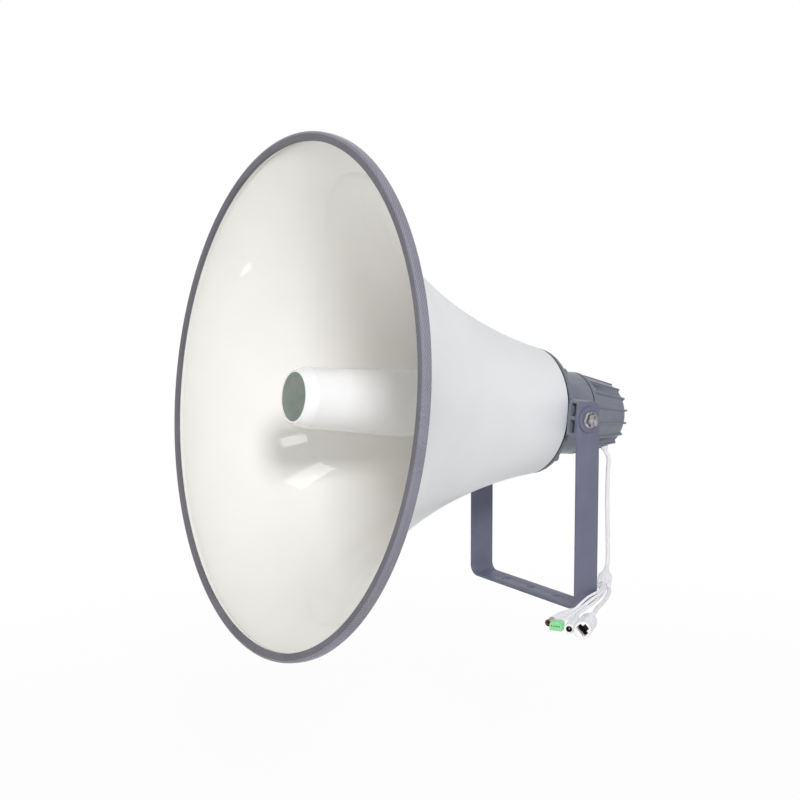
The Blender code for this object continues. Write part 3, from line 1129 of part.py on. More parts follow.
def make_terminal_block(splitter):
    """Pluggable four-way terminal block, and the sleeve on its cable."""
    half = BLOCK_PLUG_WIDTH / 2
    height = BLOCK_PLUG_HEIGHT / 2
    top = half - BLOCK_CHAMFER
    outline = [(-half, -height), (half, -height), (half, height * 0.55), (top, height),
               (-top, height), (-half, height * 0.55)]
    bm = prism_mesh(outline, BLOCK_PLUG_DEPTH)
    bm.transform(Matrix.Translation((0, -BLOCK_PLUG_DEPTH / 2, 0)) @ Matrix.Rotation(math.pi / 2, 4, "X"))
    block = finish_mesh("terminal_block", bm, MATERIALS["terminal_green"], None, TERMINAL.frame)
    pitch = BLOCK_PLUG_WIDTH / (BLOCK_WAYS + 0.6)
    ways = [(i - (BLOCK_WAYS - 1) / 2) * pitch for i in range(BLOCK_WAYS)]
    socket = BLOCK_SOCKET
    front, floor = -TERMINAL.length - OVERCUT, -TERMINAL.length + BLOCK_SOCKET_DEPTH
    cutters = [(box_mesh((x - socket, front, -socket), (x + socket, floor, socket)), TERMINAL.frame.copy())
               for x in ways]
    cut(block, "guide_sockets", cutters)
    sleeve_length = BLOCK_SLEEVE_LENGTH
    rear = TERMINAL.rear - TERMINAL.direction * (GAP + sleeve_length)
    rear.z = BLOCK_SLEEVE_HEIGHT
    profile = [(0, 0), (TERMINAL_CABLE + BOOT_WALL, 0), (BLOCK_SLEEVE_RADIUS, sleeve_length * 0.45),
               (BLOCK_SLEEVE_RADIUS, sleeve_length), (0, sleeve_length)]
    place = axis_frame(rear, TERMINAL.direction)
    turned("terminal_sleeve", profile, HOLE_SIDES, MATERIALS["cable_white"], None, place)
    route = [(0.0690, 0.0470, 0.0135), (0.0890, 0.0290, 0.0155), (0.1000, 0.0140, 0.0150),
             (0.1045, -0.0020, 0.0120), (0.1090, -0.0180, 0.0080)]
    make_tail("terminal_tail", splitter, -0.0028, route, rear, TERMINAL.direction, TERMINAL_CABLE)


def make_phono_socket(splitter):
    """Phono socket: metal sleeve, coloured insert and a long tapered boot."""
    length = PHONO_SLEEVE_LENGTH
    inner = PHONO_SLEEVE_RADIUS - PHONO_SLEEVE_WALL
    floor, ring = PHONO_FLOOR, PHONO_SLEEVE_RADIUS + PHONO_RING
    ring_end = PHONO_RING_LENGTH + PHONO_RING
    sleeve = [(0, 0), (ring, 0), (ring, PHONO_RING_LENGTH), (PHONO_SLEEVE_RADIUS, ring_end),
              (PHONO_SLEEVE_RADIUS, length), (inner, length), (inner, floor), (0, floor)]
    turned("phono_sleeve", sleeve, HOLE_SIDES, MATERIALS["nickel"], None, PHONO.frame)
    insert = ring_profile(PHONO_INSERT_BORE, inner - GAP, floor + GAP, length - PHONO_INSERT_INSET)
    turned("phono_insert", insert, HOLE_SIDES, MATERIALS["insert_red"], None, PHONO.frame)
    rear = PHONO.rear - PHONO.direction * (GAP + PHONO_BOOT_LENGTH)
    end = PHONO_BOOT_LENGTH
    root = PHONO_CABLE + BOOT_WALL
    boot = [(0, 0), (root, 0), (root + BOOT_GROWTH, end * 0.2), (PHONO_BOOT_MIDDLE, end * 0.5),
            (PHONO_COLLAR_RADIUS, end * 0.62), (PHONO_COLLAR_RADIUS, end - MOULDED_EDGE),
            (PHONO_COLLAR_RADIUS - MOULDED_EDGE, end), (0, end)]
    turned("phono_boot", boot, BOSS_SIDES, MATERIALS["cable_white"], None, axis_frame(rear, PHONO.direction))
    route = [(0.0670, 0.0455, 0.0165), (0.0880, 0.0285, 0.0190), (0.0990, 0.0125, 0.0180),
             (0.1010, -0.0040, 0.0140)]
    make_tail("phono_tail", splitter, -0.0063, route, rear, PHONO.direction, PHONO_CABLE)


def make_cables(grommet_nose):
    """The trunk from the grommet to the splitter, then the four tails."""
    outlet = HORN_FRAME @ grommet_frame()
    start = outlet @ Vector((0, -TRUNK_INSIDE, 0))
    leave = outlet @ Vector((0, -grommet_nose - TRUNK_STRAIGHT, 0))
    splitter = make_splitter()
    into = (SPLITTER_BOTTOM - SPLITTER_TOP).normalized()
    stop = SPLITTER_TOP - into * GAP
    points = [start, leave] + TRUNK_ROUTE + [stop - into * SPLITTER_ENTRY, stop]
    make_cord("cable_trunk", points, TRUNK_RADIUS, MATERIALS["cable_white"])
    make_network_coupler(splitter)
    make_power_jack(splitter)
    make_terminal_block(splitter)
    make_phono_socket(splitter)


def make_horn():
    """Everything that tilts, hung from an empty on the tilt axis."""
    horn = bpy.data.objects.new("horn_pivot", None)
    bpy.context.scene.collection.objects.link(horn)
    horn.location = (0, 0, PIVOT_HEIGHT)
    horn.rotation_euler = (-REST_AIM, 0, 0)
    make_bell(horn)
    make_trim(horn)
    make_reflector(horn)
    throat_seat = make_throat_tube(horn)
    make_bell_screws(horn, throat_seat)
    make_gasket(horn)
    make_base_casting(horn)
    make_cover_seal(horn)
    make_rear_cover(horn)
    driver_back = make_driver(horn)
    make_amplifier(horn, driver_back)
    make_pivot_hardware(horn)
    return make_grommet(horn)


clear_scene()
MATERIALS = {
    "bell_paint": make_material("bell_paint", "E6E6E2", 0.28),
    "reflector_paint": make_material("reflector_paint", "EEEEEC", 0.30),
    "trim": make_material("trim", "6E6E72", 0.55),
    "badge": make_material("badge", "78847A", 0.45),
    "casting_paint": make_material("casting_paint", "7B7E88", 0.45),
    "bracket_paint": make_material("bracket_paint", "76768A", 0.45),
    "rubber": make_material("rubber", "1C1C1E", 0.70),
    "zinc": make_material("zinc", "8C8C8C", 0.30, 1.0),
    "nickel": make_material("nickel", "B4B0A8", 0.25, 1.0),
    "brass": make_material("brass", "B8963E", 0.30, 1.0),
    "copper": make_material("copper", "B0643A", 0.40, 1.0),
    "ferrite": make_material("ferrite", "2A2A2C", 0.65),
    "black_plastic": make_material("black_plastic", "26262A", 0.50),
    "film": make_material("film", "B08A50", 0.40),
    "board": make_material("board", "1F5A38", 0.45),
    "cable_white": make_material("cable_white", "EBEBF0", 0.42),
    "terminal_green": make_material("terminal_green", "8CDDA0", 0.45),
    "insert_red": make_material("insert_red", "8A3A34", 0.45),
    "guide": make_material("guide", "FFFFFF", 0.50),
}
nose_reach = make_horn()
make_bracket()
make_cables(nose_reach)
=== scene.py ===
"""A re-entrant public-address horn on its U-bracket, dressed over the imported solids.

The horn is a spun and painted aluminium bell with a rubber edging, a closed nose tube in its
mouth, a die-cast rear housing and a breakout cable. Each sub-assembly below is one class that
holds its sizes, works out its surfaces on numpy grids and dresses them in its own finishes.
All lengths are metres unless a name says millimetres.
"""
import json
import logging
import math
from dataclasses import dataclass, field
from enum import Enum
from typing import Callable, Sequence

import bmesh
import bpy
import numpy as np
from mathutils import Matrix, Vector

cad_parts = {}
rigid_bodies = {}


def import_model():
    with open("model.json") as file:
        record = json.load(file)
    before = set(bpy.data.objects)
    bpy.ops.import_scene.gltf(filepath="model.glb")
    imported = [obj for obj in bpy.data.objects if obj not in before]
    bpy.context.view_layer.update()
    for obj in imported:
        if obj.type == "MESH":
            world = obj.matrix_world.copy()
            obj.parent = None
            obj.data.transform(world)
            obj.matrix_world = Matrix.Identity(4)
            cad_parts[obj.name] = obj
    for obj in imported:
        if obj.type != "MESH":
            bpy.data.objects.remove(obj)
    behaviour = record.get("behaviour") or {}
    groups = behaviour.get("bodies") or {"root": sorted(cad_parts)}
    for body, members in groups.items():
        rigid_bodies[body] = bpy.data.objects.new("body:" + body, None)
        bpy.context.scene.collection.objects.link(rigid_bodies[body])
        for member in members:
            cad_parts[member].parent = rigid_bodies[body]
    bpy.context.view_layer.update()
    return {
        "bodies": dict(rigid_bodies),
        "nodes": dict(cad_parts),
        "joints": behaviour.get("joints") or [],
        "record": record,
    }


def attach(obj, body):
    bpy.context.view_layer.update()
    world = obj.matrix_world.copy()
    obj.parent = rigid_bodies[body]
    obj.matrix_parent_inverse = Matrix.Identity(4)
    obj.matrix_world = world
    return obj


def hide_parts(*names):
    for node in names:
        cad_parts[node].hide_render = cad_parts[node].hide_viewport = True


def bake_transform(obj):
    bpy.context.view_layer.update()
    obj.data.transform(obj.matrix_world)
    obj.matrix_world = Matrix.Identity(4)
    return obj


LOG = logging.getLogger("horn")
Array = np.ndarray
Socket = bpy.types.NodeSocket


# Numbers and directions
REST_AIM = math.radians(6.5)
PIVOT_HEIGHT = 0.202
# Points nearer to each other than this are one point.
SAME_POINT = 1e-7
# Guards a division by zero, and lets a full turn fall short by a rounding.
TINY = 1e-12
# Room between two pieces that fit on or in each other.
FIT = 0.0003
# A direction that no swept path takes.
OFF_PATH = (0.31, 0.22, 0.92)


def from_horn(points: Array) -> Array:
    """Turn horn coordinates into the row frame.

    The horn's own coordinates are x along the tilt axis, s along the horn's axis toward the
    mouth, and z up from that axis. The axis passes through the pivots and rises by REST_AIM.

    Args:
        points: array (..., 3) of x, s, z.

    Returns:
        Array of the same shape with x, y, z in the row frame.
    """
    x, s, z = np.moveaxis(np.asarray(points, float), -1, 0)
    lift, reach = math.sin(REST_AIM), math.cos(REST_AIM)
    return np.stack([x, -reach * s + lift * z, PIVOT_HEIGHT + lift * s + reach * z], axis=-1)


def to_horn(points: Array) -> Array:
    """Turn points of the row frame back into horn coordinates.

    Args:
        points: array (..., 3) of x, y, z.

    Returns:
        Array of the same shape with x, s, z.
    """
    x, y, z = np.moveaxis(np.asarray(points, float), -1, 0)
    lift, reach = math.sin(REST_AIM), math.cos(REST_AIM)
    up = z - PIVOT_HEIGHT
    return np.stack([x, -reach * y + lift * up, lift * y + reach * up], axis=-1)


def horn_direction(x: float, s: float, z: float) -> Vector:
    """A direction in horn coordinates as a row-frame vector."""
    return Vector(from_horn(np.array([x, s, z])) - from_horn(np.zeros(3)))


def unit(vectors: Array) -> Array:
    """Vectors scaled to length one along the last axis."""
    return vectors / np.maximum(np.linalg.norm(vectors, axis=-1, keepdims=True), TINY)


def smooth_route(points: Sequence[Sequence[float]], per_span: int) -> Array:
    """Sample a smooth curve that passes through every point of a route.

    Each span from b to c is the cubic whose slope at its ends follows the points beyond them, a
    and d: half of (2b + (c-a)t + (2a-5b+4c-d)t^2 + (3b-a-3c+d)t^3).

    Args:
        points: the route's own points.
        per_span: how many samples each span gets.

    Returns:
        Array (n, 3) of samples, with both ends included.
    """
    route = np.asarray(points, float)
    route = np.vstack([2 * route[0] - route[1], route, 2 * route[-1] - route[-2]])
    a, b, c, d = (route[i:len(route) - 3 + i, None, :] for i in range(4))
    t = (np.arange(1, per_span + 1) / per_span)[None, :, None]
    spans = 0.5 * (2 * b + (c - a) * t + (2 * a - 5 * b + 4 * c - d) * t ** 2
                   + (3 * b - a - 3 * c + d) * t ** 3)
    return np.vstack([route[1], spans.reshape(-1, 3)])


def rounded(corners: Sequence[Sequence[float]], radii: float | Sequence[float], steps: int = 4,
            closed: bool = True) -> Array:
    """Round the corners of a flat outline.

    A corner c between the points p and q, which lie the corner's radius away from it on its two
    edges, becomes the quadratic curve (1-t)^2 p + 2t(1-t) c + t^2 q.

    Args:
        corners: outline points (k, 2).
        radii: one set-back for all corners or one for each.
        steps: segments in each corner.
        closed: whether the outline returns to its start; an open one keeps its two ends sharp.

    Returns:
        Array (n, 2) with no repeated point.
    """
    points = np.asarray(corners, float)
    setback = np.broadcast_to(np.asarray(radii, float), len(points)).copy()
    if not closed:
        setback[[0, -1]] = 0
    before, after = np.roll(points, 1, axis=0) - points, np.roll(points, -1, axis=0) - points
    # Under half of the shorter edge, so that two corners never meet.
    reach = np.minimum(np.linalg.norm(before, axis=1), np.linalg.norm(after, axis=1)) * 0.49
    setback = np.minimum(setback, reach)[:, None]
    start, stop = points + unit(before) * setback, points + unit(after) * setback
    t = np.linspace(0, 1, steps + 1)[None, :, None]
    curve = ((1 - t) ** 2 * start[:, None] + 2 * t * (1 - t) * points[:, None]
             + t ** 2 * stop[:, None]).reshape(-1, 2)
    gap = np.linalg.norm(curve - np.roll(curve, 1, axis=0), axis=1)
    gap[0] = gap[0] if closed else 1.0
    return curve[gap > SAME_POINT]


# Surfaces on grids
@dataclass
class Surface:
    """Points, faces and face-corner UVs of one piece, held as arrays.

    faces and uvs are lists of equal-length groups: an array (k, c) of point numbers for k faces
    with c corners, and an array (k, c, 2) of their UVs in metres.
    """

    points: Array
    faces: list[Array]
    uvs: list[Array]

    @classmethod
    def lattice(cls, points: Array, uv: Array, wrap_rows: bool = False, wrap_columns: bool = False,
                caps: bool = False) -> "Surface":
        """Join a grid of points with quads, and with triangles where a row shrinks to a pole.

        Args:
            points: array (rows, columns, 3).
            uv: array (rows + wrap_rows, columns + wrap_columns, 2) in metres.
            wrap_rows: whether the last row meets the first.
            wrap_columns: whether the last column meets the first.
            caps: whether the first and last columns are closed with one face each.

        Returns:
            The surface, turned so that its faces point outwards.
        """
        rows, columns = points.shape[:2]
        index = np.arange(rows * columns).reshape(rows, columns)
        spread = np.linalg.norm(points - points[:, :1], axis=-1).max(axis=1)
        poles = spread < SAME_POINT
        index[poles] = index[poles][:, :1]
        index = np.pad(index, ((0, int(wrap_rows)), (0, int(wrap_columns))), mode="wrap")
        quads = np.stack([index[:-1, :-1], index[1:, :-1], index[1:, 1:], index[:-1, 1:]], -1)
        corners = np.stack([uv[:-1, :-1], uv[1:, :-1], uv[1:, 1:], uv[:-1, 1:]], -2)
        quads, corners = quads.reshape(-1, 4), corners.reshape(-1, 4, 2)
        low, high = quads[:, 0] == quads[:, 3], quads[:, 1] == quads[:, 2]
        whole = ~(low | high)
        faces = [quads[whole], quads[low][:, :3], quads[high][:, [0, 1, 3]]]
        uvs = [corners[whole], corners[low][:, :3], corners[high][:, [0, 1, 3]]]
        if caps:
            ends = index[:rows, [0, columns - 1]].T.copy()
            ends[1] = ends[1][::-1]
            faces.append(ends)
            uvs.append(np.stack([uv[:rows, 0], uv[:rows, columns - 1][::-1]]))
        used, compact = np.unique(np.concatenate([f.ravel() for f in faces]), return_inverse=True)
        sizes = np.cumsum([f.size for f in faces])[:-1]
        parts = [p.reshape(f.shape) for p, f in zip(np.split(compact.ravel(), sizes), faces)]
        return cls(points.reshape(-1, 3)[used], parts, uvs).outward()

    def volume(self) -> float:
        """Signed volume: the sum of the tetrahedra that each face's fan makes with the centre.

        Returns:
            The volume in cubic metres, negative where the faces point inwards.
        """
        total, centre = 0.0, self.points.mean(axis=0)
        for group in self.faces:
            corner = self.points[group] - centre
            for i in range(1, group.shape[1] - 1):
                total += np.einsum("ij,ij->", corner[:, 0], np.cross(corner[:, i], corner[:, i + 1]))
        return total / 6

    def outward(self) -> "Surface":
        """Turn every face over if the volume is negative.

        Returns:
            The same surface, facing outwards.
        """
        if self.volume() < 0:
            self.faces = [group[:, ::-1] for group in self.faces]
            self.uvs = [group[:, ::-1] for group in self.uvs]
        return self

    def moved(self, place: Callable[[Array], Array] | Matrix) -> "Surface":
        """Put the surface elsewhere, still facing outwards.

        Args:
            place: a function of the points, or a matrix.

        Returns:
            The new surface.
        """
        if isinstance(place, Matrix):
            turn = np.array(place)
            points = self.points @ turn[:3, :3].T + turn[:3, 3]
        else:
            points = place(self.points)
        return Surface(points, list(self.faces), list(self.uvs)).outward()

    def __add__(self, other: "Surface") -> "Surface":
        """Take two surfaces as the separate shells of one piece.

        Args:
            other: the second surface.

        Returns:
            A surface with the points and faces of both.
        """
        shift = len(self.points)
        return Surface(np.vstack([self.points, other.points]),
                       self.faces + [group + shift for group in other.faces], self.uvs + other.uvs)

    def build(self, name: str, materials: Sequence[bpy.types.Material], sharp: float = 40.0,
              paint: Callable[[Array], Array] | None = None) -> bpy.types.Object:
        """Make the surface an object at the origin.

        Args:
            name: the piece's name.
            materials: its material slots.
            sharp: angle in degrees past which an edge stays crisp.
            paint: gives each face's slot number from the face centres (m, 3).

        Returns:
            The linked object, smooth shaded, with a UV map in metres.
        """
        groups = [(f, u) for f, u in zip(self.faces, self.uvs) if len(f)]
        mesh = bpy.data.meshes.new(name)
        mesh.from_pydata(self.points.tolist(), [], [face for f, _ in groups for face in f.tolist()])
        layer = mesh.uv_layers.new(name="metres")
        corners = np.concatenate([u.ravel() for _, u in groups])
        layer.data.foreach_set("uv", corners.astype(np.float32))
        for material in materials:
            mesh.materials.append(material)
        if paint is not None:
            centres = np.vstack([self.points[f].mean(axis=1) for f, _ in groups])
            mesh.polygons.foreach_set("material_index", paint(centres).astype(np.int32))
        mesh.shade_smooth()
        mesh.set_sharp_from_angle(angle=math.radians(sharp))
        mesh.update()
        piece = bpy.data.objects.new(name, mesh)
        bpy.context.scene.collection.objects.link(piece)
        return piece


def path_lengths(points: Array) -> Array:
    """Distance along a path of points, starting at zero."""
    return np.concatenate([[0.0], np.cumsum(np.linalg.norm(np.diff(points, axis=0), axis=1))])


def turned(profile: Array, sides: int, sweep: float = math.tau, start: float = 0.0,
           closed: bool = True) -> Surface:
    """Carry a profile round the horn's axis.

    A point (r, s) of the profile at the angle a lies at x = r cos a, z = r sin a and the
    station s. The UV is (a times the mean radius, distance along the profile).

    Args:
        profile: array (n, 2) of radius and station.
        sides: steps round the axis.
        sweep: angle covered; less than a full turn gets two end faces.
        start: angle of the first column.
        closed: whether the profile returns to its start.

    Returns:
        The surface in horn coordinates.
    """
    full = sweep >= math.tau - TINY
    angles = start + sweep * np.arange(sides + (not full)) / sides
    r, s = profile[:, :1], profile[:, 1:]
    points = np.stack([r * np.cos(angles), s + 0 * angles, r * np.sin(angles)], axis=-1)
    loop = np.vstack([profile, profile[:1]]) if closed else profile
    v = path_lengths(loop)
    u = (start + sweep * np.arange(sides + 1) / sides) * max(profile[:, 0].mean(), 1e-4)
    uv = np.stack(np.broadcast_arrays(u[None, :], v[:, None]), axis=-1)
    return Surface.lattice(points, uv, wrap_rows=closed, wrap_columns=full, caps=not full)


def swept(path: Array, section: Array, up: Sequence[float] = OFF_PATH) -> Surface:
    """Carry a closed section along a path.

    A section point (a, b) lies a along the path's side direction and b along its second
    direction, where side = tangent x up and second = side x tangent.

    Args:
        path: array (n, 3).
        section: array (m, 2), or (n, m, 2) for a section that changes along the path.
        up: direction that the tangent never takes.

    Returns:
        A closed surface, its UV the distance along the path and the distance round the section.
    """
    tangent = unit(np.gradient(path, axis=0))
    side = unit(np.cross(tangent, np.asarray(up, float)))
    second = np.cross(side, tangent)
    shape = np.broadcast_to(section, (len(path),) + section.shape[-2:])
    points = path[:, None] + shape[..., :1] * side[:, None] + shape[..., 1:] * second[:, None]
    middle = shape[len(path) // 2]
    round_length = path_lengths(np.vstack([middle, middle[:1]]))
    uv = np.stack(np.broadcast_arrays(path_lengths(path)[:, None], round_length[None, :]), axis=-1)
    return Surface.lattice(np.swapaxes(points, 0, 1), np.swapaxes(uv, 0, 1), wrap_rows=True,
                           caps=True)


def circle(radius: float, count: int) -> Array:
    """Points of a circle, as an array (count, 2)."""
    angles = even_angles(count)
    return radius * np.stack([np.cos(angles), np.sin(angles)], axis=-1)


def ring_stack(rings: Array, angles: Array) -> Surface:
    """Stack rings whose radius depends on the angle.

    A ring point at the angle a lies at x = r cos a, y = r sin a and the ring's height z. The UV
    is (a times the largest radius, mean distance from the first ring).

    Args:
        rings: array (n, columns, 2) of radius and height for each ring and angle.
        angles: array (columns,), rising, less than a full turn apart.

    Returns:
        A closed surface; a first or last ring of no radius becomes a pole.
    """
    r, z = rings[..., 0], rings[..., 1]
    points = np.stack([r * np.cos(angles), r * np.sin(angles), z], axis=-1)
    wide = np.append(angles, angles[0] + math.tau) * float(r.max())
    steps = np.linalg.norm(np.diff(rings, axis=0), axis=-1).mean(axis=1)
    along = np.concatenate([[0.0], np.cumsum(steps)])
    uv = np.stack(np.broadcast_arrays(wide[None, :], along[:, None]), axis=-1)
    return Surface.lattice(points, uv, wrap_columns=True)


def even_angles(count: int) -> Array:
    """Angles of a full turn in equal steps."""
    return math.tau * np.arange(count) / count


def round_rings(levels: Sequence[Sequence[float | Array]] | Array, angles: Array) -> Array:
    """Rings (n, columns, 2) from the radius, for all angles or at each one, and height of each."""
    return np.stack([np.stack(np.broadcast_arrays(r, z, angles)[:2], axis=-1) for r, z in levels])


def lathed(profile: Sequence[Sequence[float]] | Array, columns: int) -> Surface:
    """A round piece about its own z axis, from its profile of radius and height."""
    angles = even_angles(columns)
    return ring_stack(round_rings(profile, angles), angles)


def aimed(point: Sequence[float], forward: Sequence[float], right: Sequence[float]) -> Matrix:
    """Aim a piece's own axes.

    Args:
        point: where its origin goes.
        forward: where its z axis points.
        right: where its x axis points, as nearly as forward lets it.

    Returns:
        The matrix that puts it there.
    """
    z = Vector(forward).normalized()
    x = (Vector(right) - Vector(right).dot(z) * z).normalized()
    place = Matrix((x, z.cross(x), z)).transposed().to_4x4()
    place.translation = Vector(point)
    return place


# Stands a piece turned about the horn's axis upright: its x stays and its axis becomes z.
UPRIGHT = Matrix(((1, 0, 0, 0), (0, 0, -1, 0), (0, 1, 0, 0), (0, 0, 0, 1)))


# Materials
def to_linear(code: str) -> tuple[float, float, float, float]:
    """Turn an sRGB hex colour into linear colour, as c / 12.92 or ((c + 0.055) / 1.055)^2.4.

    Args:
        code: six hex digits of red, green and blue.

    Returns:
        Linear red, green and blue, and an alpha of one.
    """
    parts = np.array([int(code[i:i + 2], 16) for i in (0, 2, 4)]) / 255
    linear = np.where(parts <= 0.04045, parts / 12.92, ((parts + 0.055) / 1.055) ** 2.4)
    return (*(float(c) for c in linear), 1.0)


def add_node(tree: bpy.types.NodeTree, kind: str, settings: dict | None = None,
             links: dict | None = None) -> bpy.types.Node:
    """Add one node with its settings and links.

    Args:
        tree: the node tree.
        kind: the node's type name.
        settings: attribute names, or input names or numbers, with their values.
        links: input names or numbers with the output sockets that feed them.

    Returns:
        The node.
    """
    node = tree.nodes.new(kind)
    for key, value in (settings or {}).items():
        if isinstance(key, str) and hasattr(node, key):
            setattr(node, key, value)
        else:
            node.inputs[key].default_value = value
    for key, socket in (links or {}).items():
        tree.links.new(socket, node.inputs[key])
    return node


class Space(Enum):
    """Where a finish's pattern is laid out."""

    OBJECT = "Object"
    SURFACE = "UV"


@dataclass(frozen=True)
class Finish:
    """A painted, moulded or plated surface with mottled colour, grain and uneven gloss.

    Sizes ending in _mm are the real sizes of the pattern, or as coarse as it needs to show where
    a comment says so. The mottle's noise fades colour into shade over mottle_range, and swings
    the roughness by gloss_swing either way over gloss_range. Subclasses add their own relief.
    """

    name: str
    colour: str
    shade: str
    roughness: float
    metallic: float = 0.0
    ior: float = 1.5
    coat: float = 0.0
    coat_roughness: float = 0.04
    mottle_mm: float = 40.0
    mottle_range: tuple[float, float] = (0.35, 0.68)
    grain_mm: float = 1.2
    grain_height_mm: float = 0.02
    gloss_swing: float = 0.04
    gloss_range: tuple[float, float] = (0.3, 0.7)
    space: Space = Space.OBJECT

    def relief(self, tree: bpy.types.NodeTree, place: Socket) -> Socket | None:
        """Extra relief height in millimetres, for subclasses."""
        return None

    def tint(self, tree: bpy.types.NodeTree, place: Socket, colour: Socket) -> Socket:
        """Extra colour change, for subclasses."""
        return colour

    def ripple(self, tree: bpy.types.NodeTree, place: Socket, spacing_mm: float,
               lean: tuple[float, float], height: float, level: float = 0.0) -> Socket:
        """Add a sine wave that runs straight over the surface's UVs.

        At (X, Y) metres it is level + height sin(2 pi (a X + b Y) / spacing), with lean (a, b).

        Args:
            tree: the finish's node tree.
            place: the UVs in metres.
            spacing_mm: distance from crest to crest where a and b are 1 and 0.
            lean: how much of X and of Y count.
            height: the wave's rise over its middle.
            level: its middle.

        Returns:
            The socket with the wave's value.
        """
        along = add_node(tree, "ShaderNodeVectorMath", {"operation": "DOT_PRODUCT", 1: (*lean, 0.0)},
                         {0: place})
        turns = add_node(tree, "ShaderNodeMath",
                         {"operation": "MULTIPLY", 1: math.tau * 1000 / spacing_mm},
                         {0: along.outputs["Value"]})
        wave = add_node(tree, "ShaderNodeMath", {"operation": "SINE"}, {0: turns.outputs[0]})
        return add_node(tree, "ShaderNodeMath", {"operation": "MULTIPLY_ADD", 1: height, 2: level},
                        {0: wave.outputs[0]}).outputs[0]

    def material(self) -> bpy.types.Material:
        """Build the node tree once and give the material back each time after that.

        Returns:
            The material, named for the finish.
        """
        found = bpy.data.materials.get(self.name)
        if found is not None:
            return found
        material = bpy.data.materials.new(self.name)
        material.use_nodes = True
        tree = material.node_tree
        tree.nodes.clear()
        texture = add_node(tree, "ShaderNodeTexCoord")
        place, body = texture.outputs[self.space.value], texture.outputs["Object"]
        mottle = add_node(tree, "ShaderNodeTexNoise",
                          {"Scale": 1000 / self.mottle_mm, "Detail": 3.0, "Roughness": 0.55},
                          {"Vector": body})
        low, high = self.mottle_range
        fade = add_node(tree, "ShaderNodeMapRange", {"From Min": low, "From Max": high},
                        {"Value": mottle.outputs["Fac"]})
        mixed = add_node(tree, "ShaderNodeMix",
                         {"data_type": "RGBA", 6: to_linear(self.colour), 7: to_linear(self.shade)},
                         {0: fade.outputs["Result"]})
        grain = add_node(tree, "ShaderNodeTexNoise",
                         {"Scale": 1000 / self.grain_mm, "Detail": 2.0, "Roughness": 0.5},
                         {"Vector": body})
        height = add_node(tree, "ShaderNodeMath", {"operation": "MULTIPLY", 1: self.grain_height_mm},
                          {0: grain.outputs["Fac"]}).outputs[0]
        extra = self.relief(tree, place)
        if extra is not None:
            height = add_node(tree, "ShaderNodeMath", {"operation": "ADD"},
                              {0: height, 1: extra}).outputs[0]
        # Heights are in millimetres, so a height of one stands for a distance of 0.001.
        bump = add_node(tree, "ShaderNodeBump", {"Distance": 0.001, "Strength": 1.0},
                        {"Height": height})
        low, high = self.gloss_range
        gloss = add_node(tree, "ShaderNodeMapRange",
                         {"From Min": low, "From Max": high,
                          "To Min": self.roughness - self.gloss_swing,
                          "To Max": self.roughness + self.gloss_swing},
                         {"Value": mottle.outputs["Fac"]})
        shader = add_node(tree, "ShaderNodeBsdfPrincipled",
                          {"Metallic": self.metallic, "IOR": self.ior, "Coat Weight": self.coat,
                           "Coat Roughness": self.coat_roughness},
                          {"Base Color": self.tint(tree, place, mixed.outputs[2]),
                           "Roughness": gloss.outputs["Result"], "Normal": bump.outputs["Normal"]})
        add_node(tree, "ShaderNodeOutputMaterial", None, {"Surface": shader.outputs["BSDF"]})
        material.diffuse_color = to_linear(self.colour)
        return material


@dataclass(frozen=True)
class SpunPaint(Finish):
    """Powder coat over a bell spun on a lathe: orange peel, with faint rings from the roller."""

    ring_mm: float = 5.5
    ring_height_mm: float = 0.004

    def relief(self, tree: bpy.types.NodeTree, place: Socket) -> Socket:
        """Rings a few millimetres apart along the profile, far too shallow to feel."""
        return self.ripple(tree, place, self.ring_mm, (0.0, 1.0), self.ring_height_mm)


@dataclass(frozen=True)
class RibbedEdging(Finish):
    """Extruded vinyl edging with slanting ribs pressed into its outer skin.

    The real ribs are 2 mm apart, too fine to show, so rib_mm draws them coarser.
    """

    rib_mm: float = 4.2
    rib_height_mm: float = 0.24
    slant: float = 1.8
    # How far the grooves are darkened: painted shade.
    groove_shade: float = 0.30

    def wave(self, tree: bpy.types.NodeTree, place: Socket) -> Socket:
        """Rib wave from 0 to 1: it repeats each rib_mm along the edging and leans by slant."""
        return self.ripple(tree, place, self.rib_mm, (1.0, self.slant), 0.5, 0.5)

    def relief(self, tree: bpy.types.NodeTree, place: Socket) -> Socket:
        """The ribs stand rib_height_mm over the grooves."""
        return add_node(tree, "ShaderNodeMath", {"operation": "MULTIPLY", 1: self.rib_height_mm},
                        {0: self.wave(tree, place)}).outputs[0]

    def tint(self, tree: bpy.types.NodeTree, place: Socket, colour: Socket) -> Socket:
        """Grooves are darker than the rib tops: painted shade in each groove.

        Args:
            tree: the finish's node tree.
            place: the UVs in metres.
            colour: the mottled colour.

        Returns:
            The socket with the darkened colour.
        """
        return add_node(tree, "ShaderNodeMix", {"data_type": "RGBA", "blend_type": "MULTIPLY",
                                                0: self.groove_shade, 7: (1.0, 1.0, 1.0, 1.0)},
                        {6: colour, 7: self.wave(tree, place)}).outputs[2]


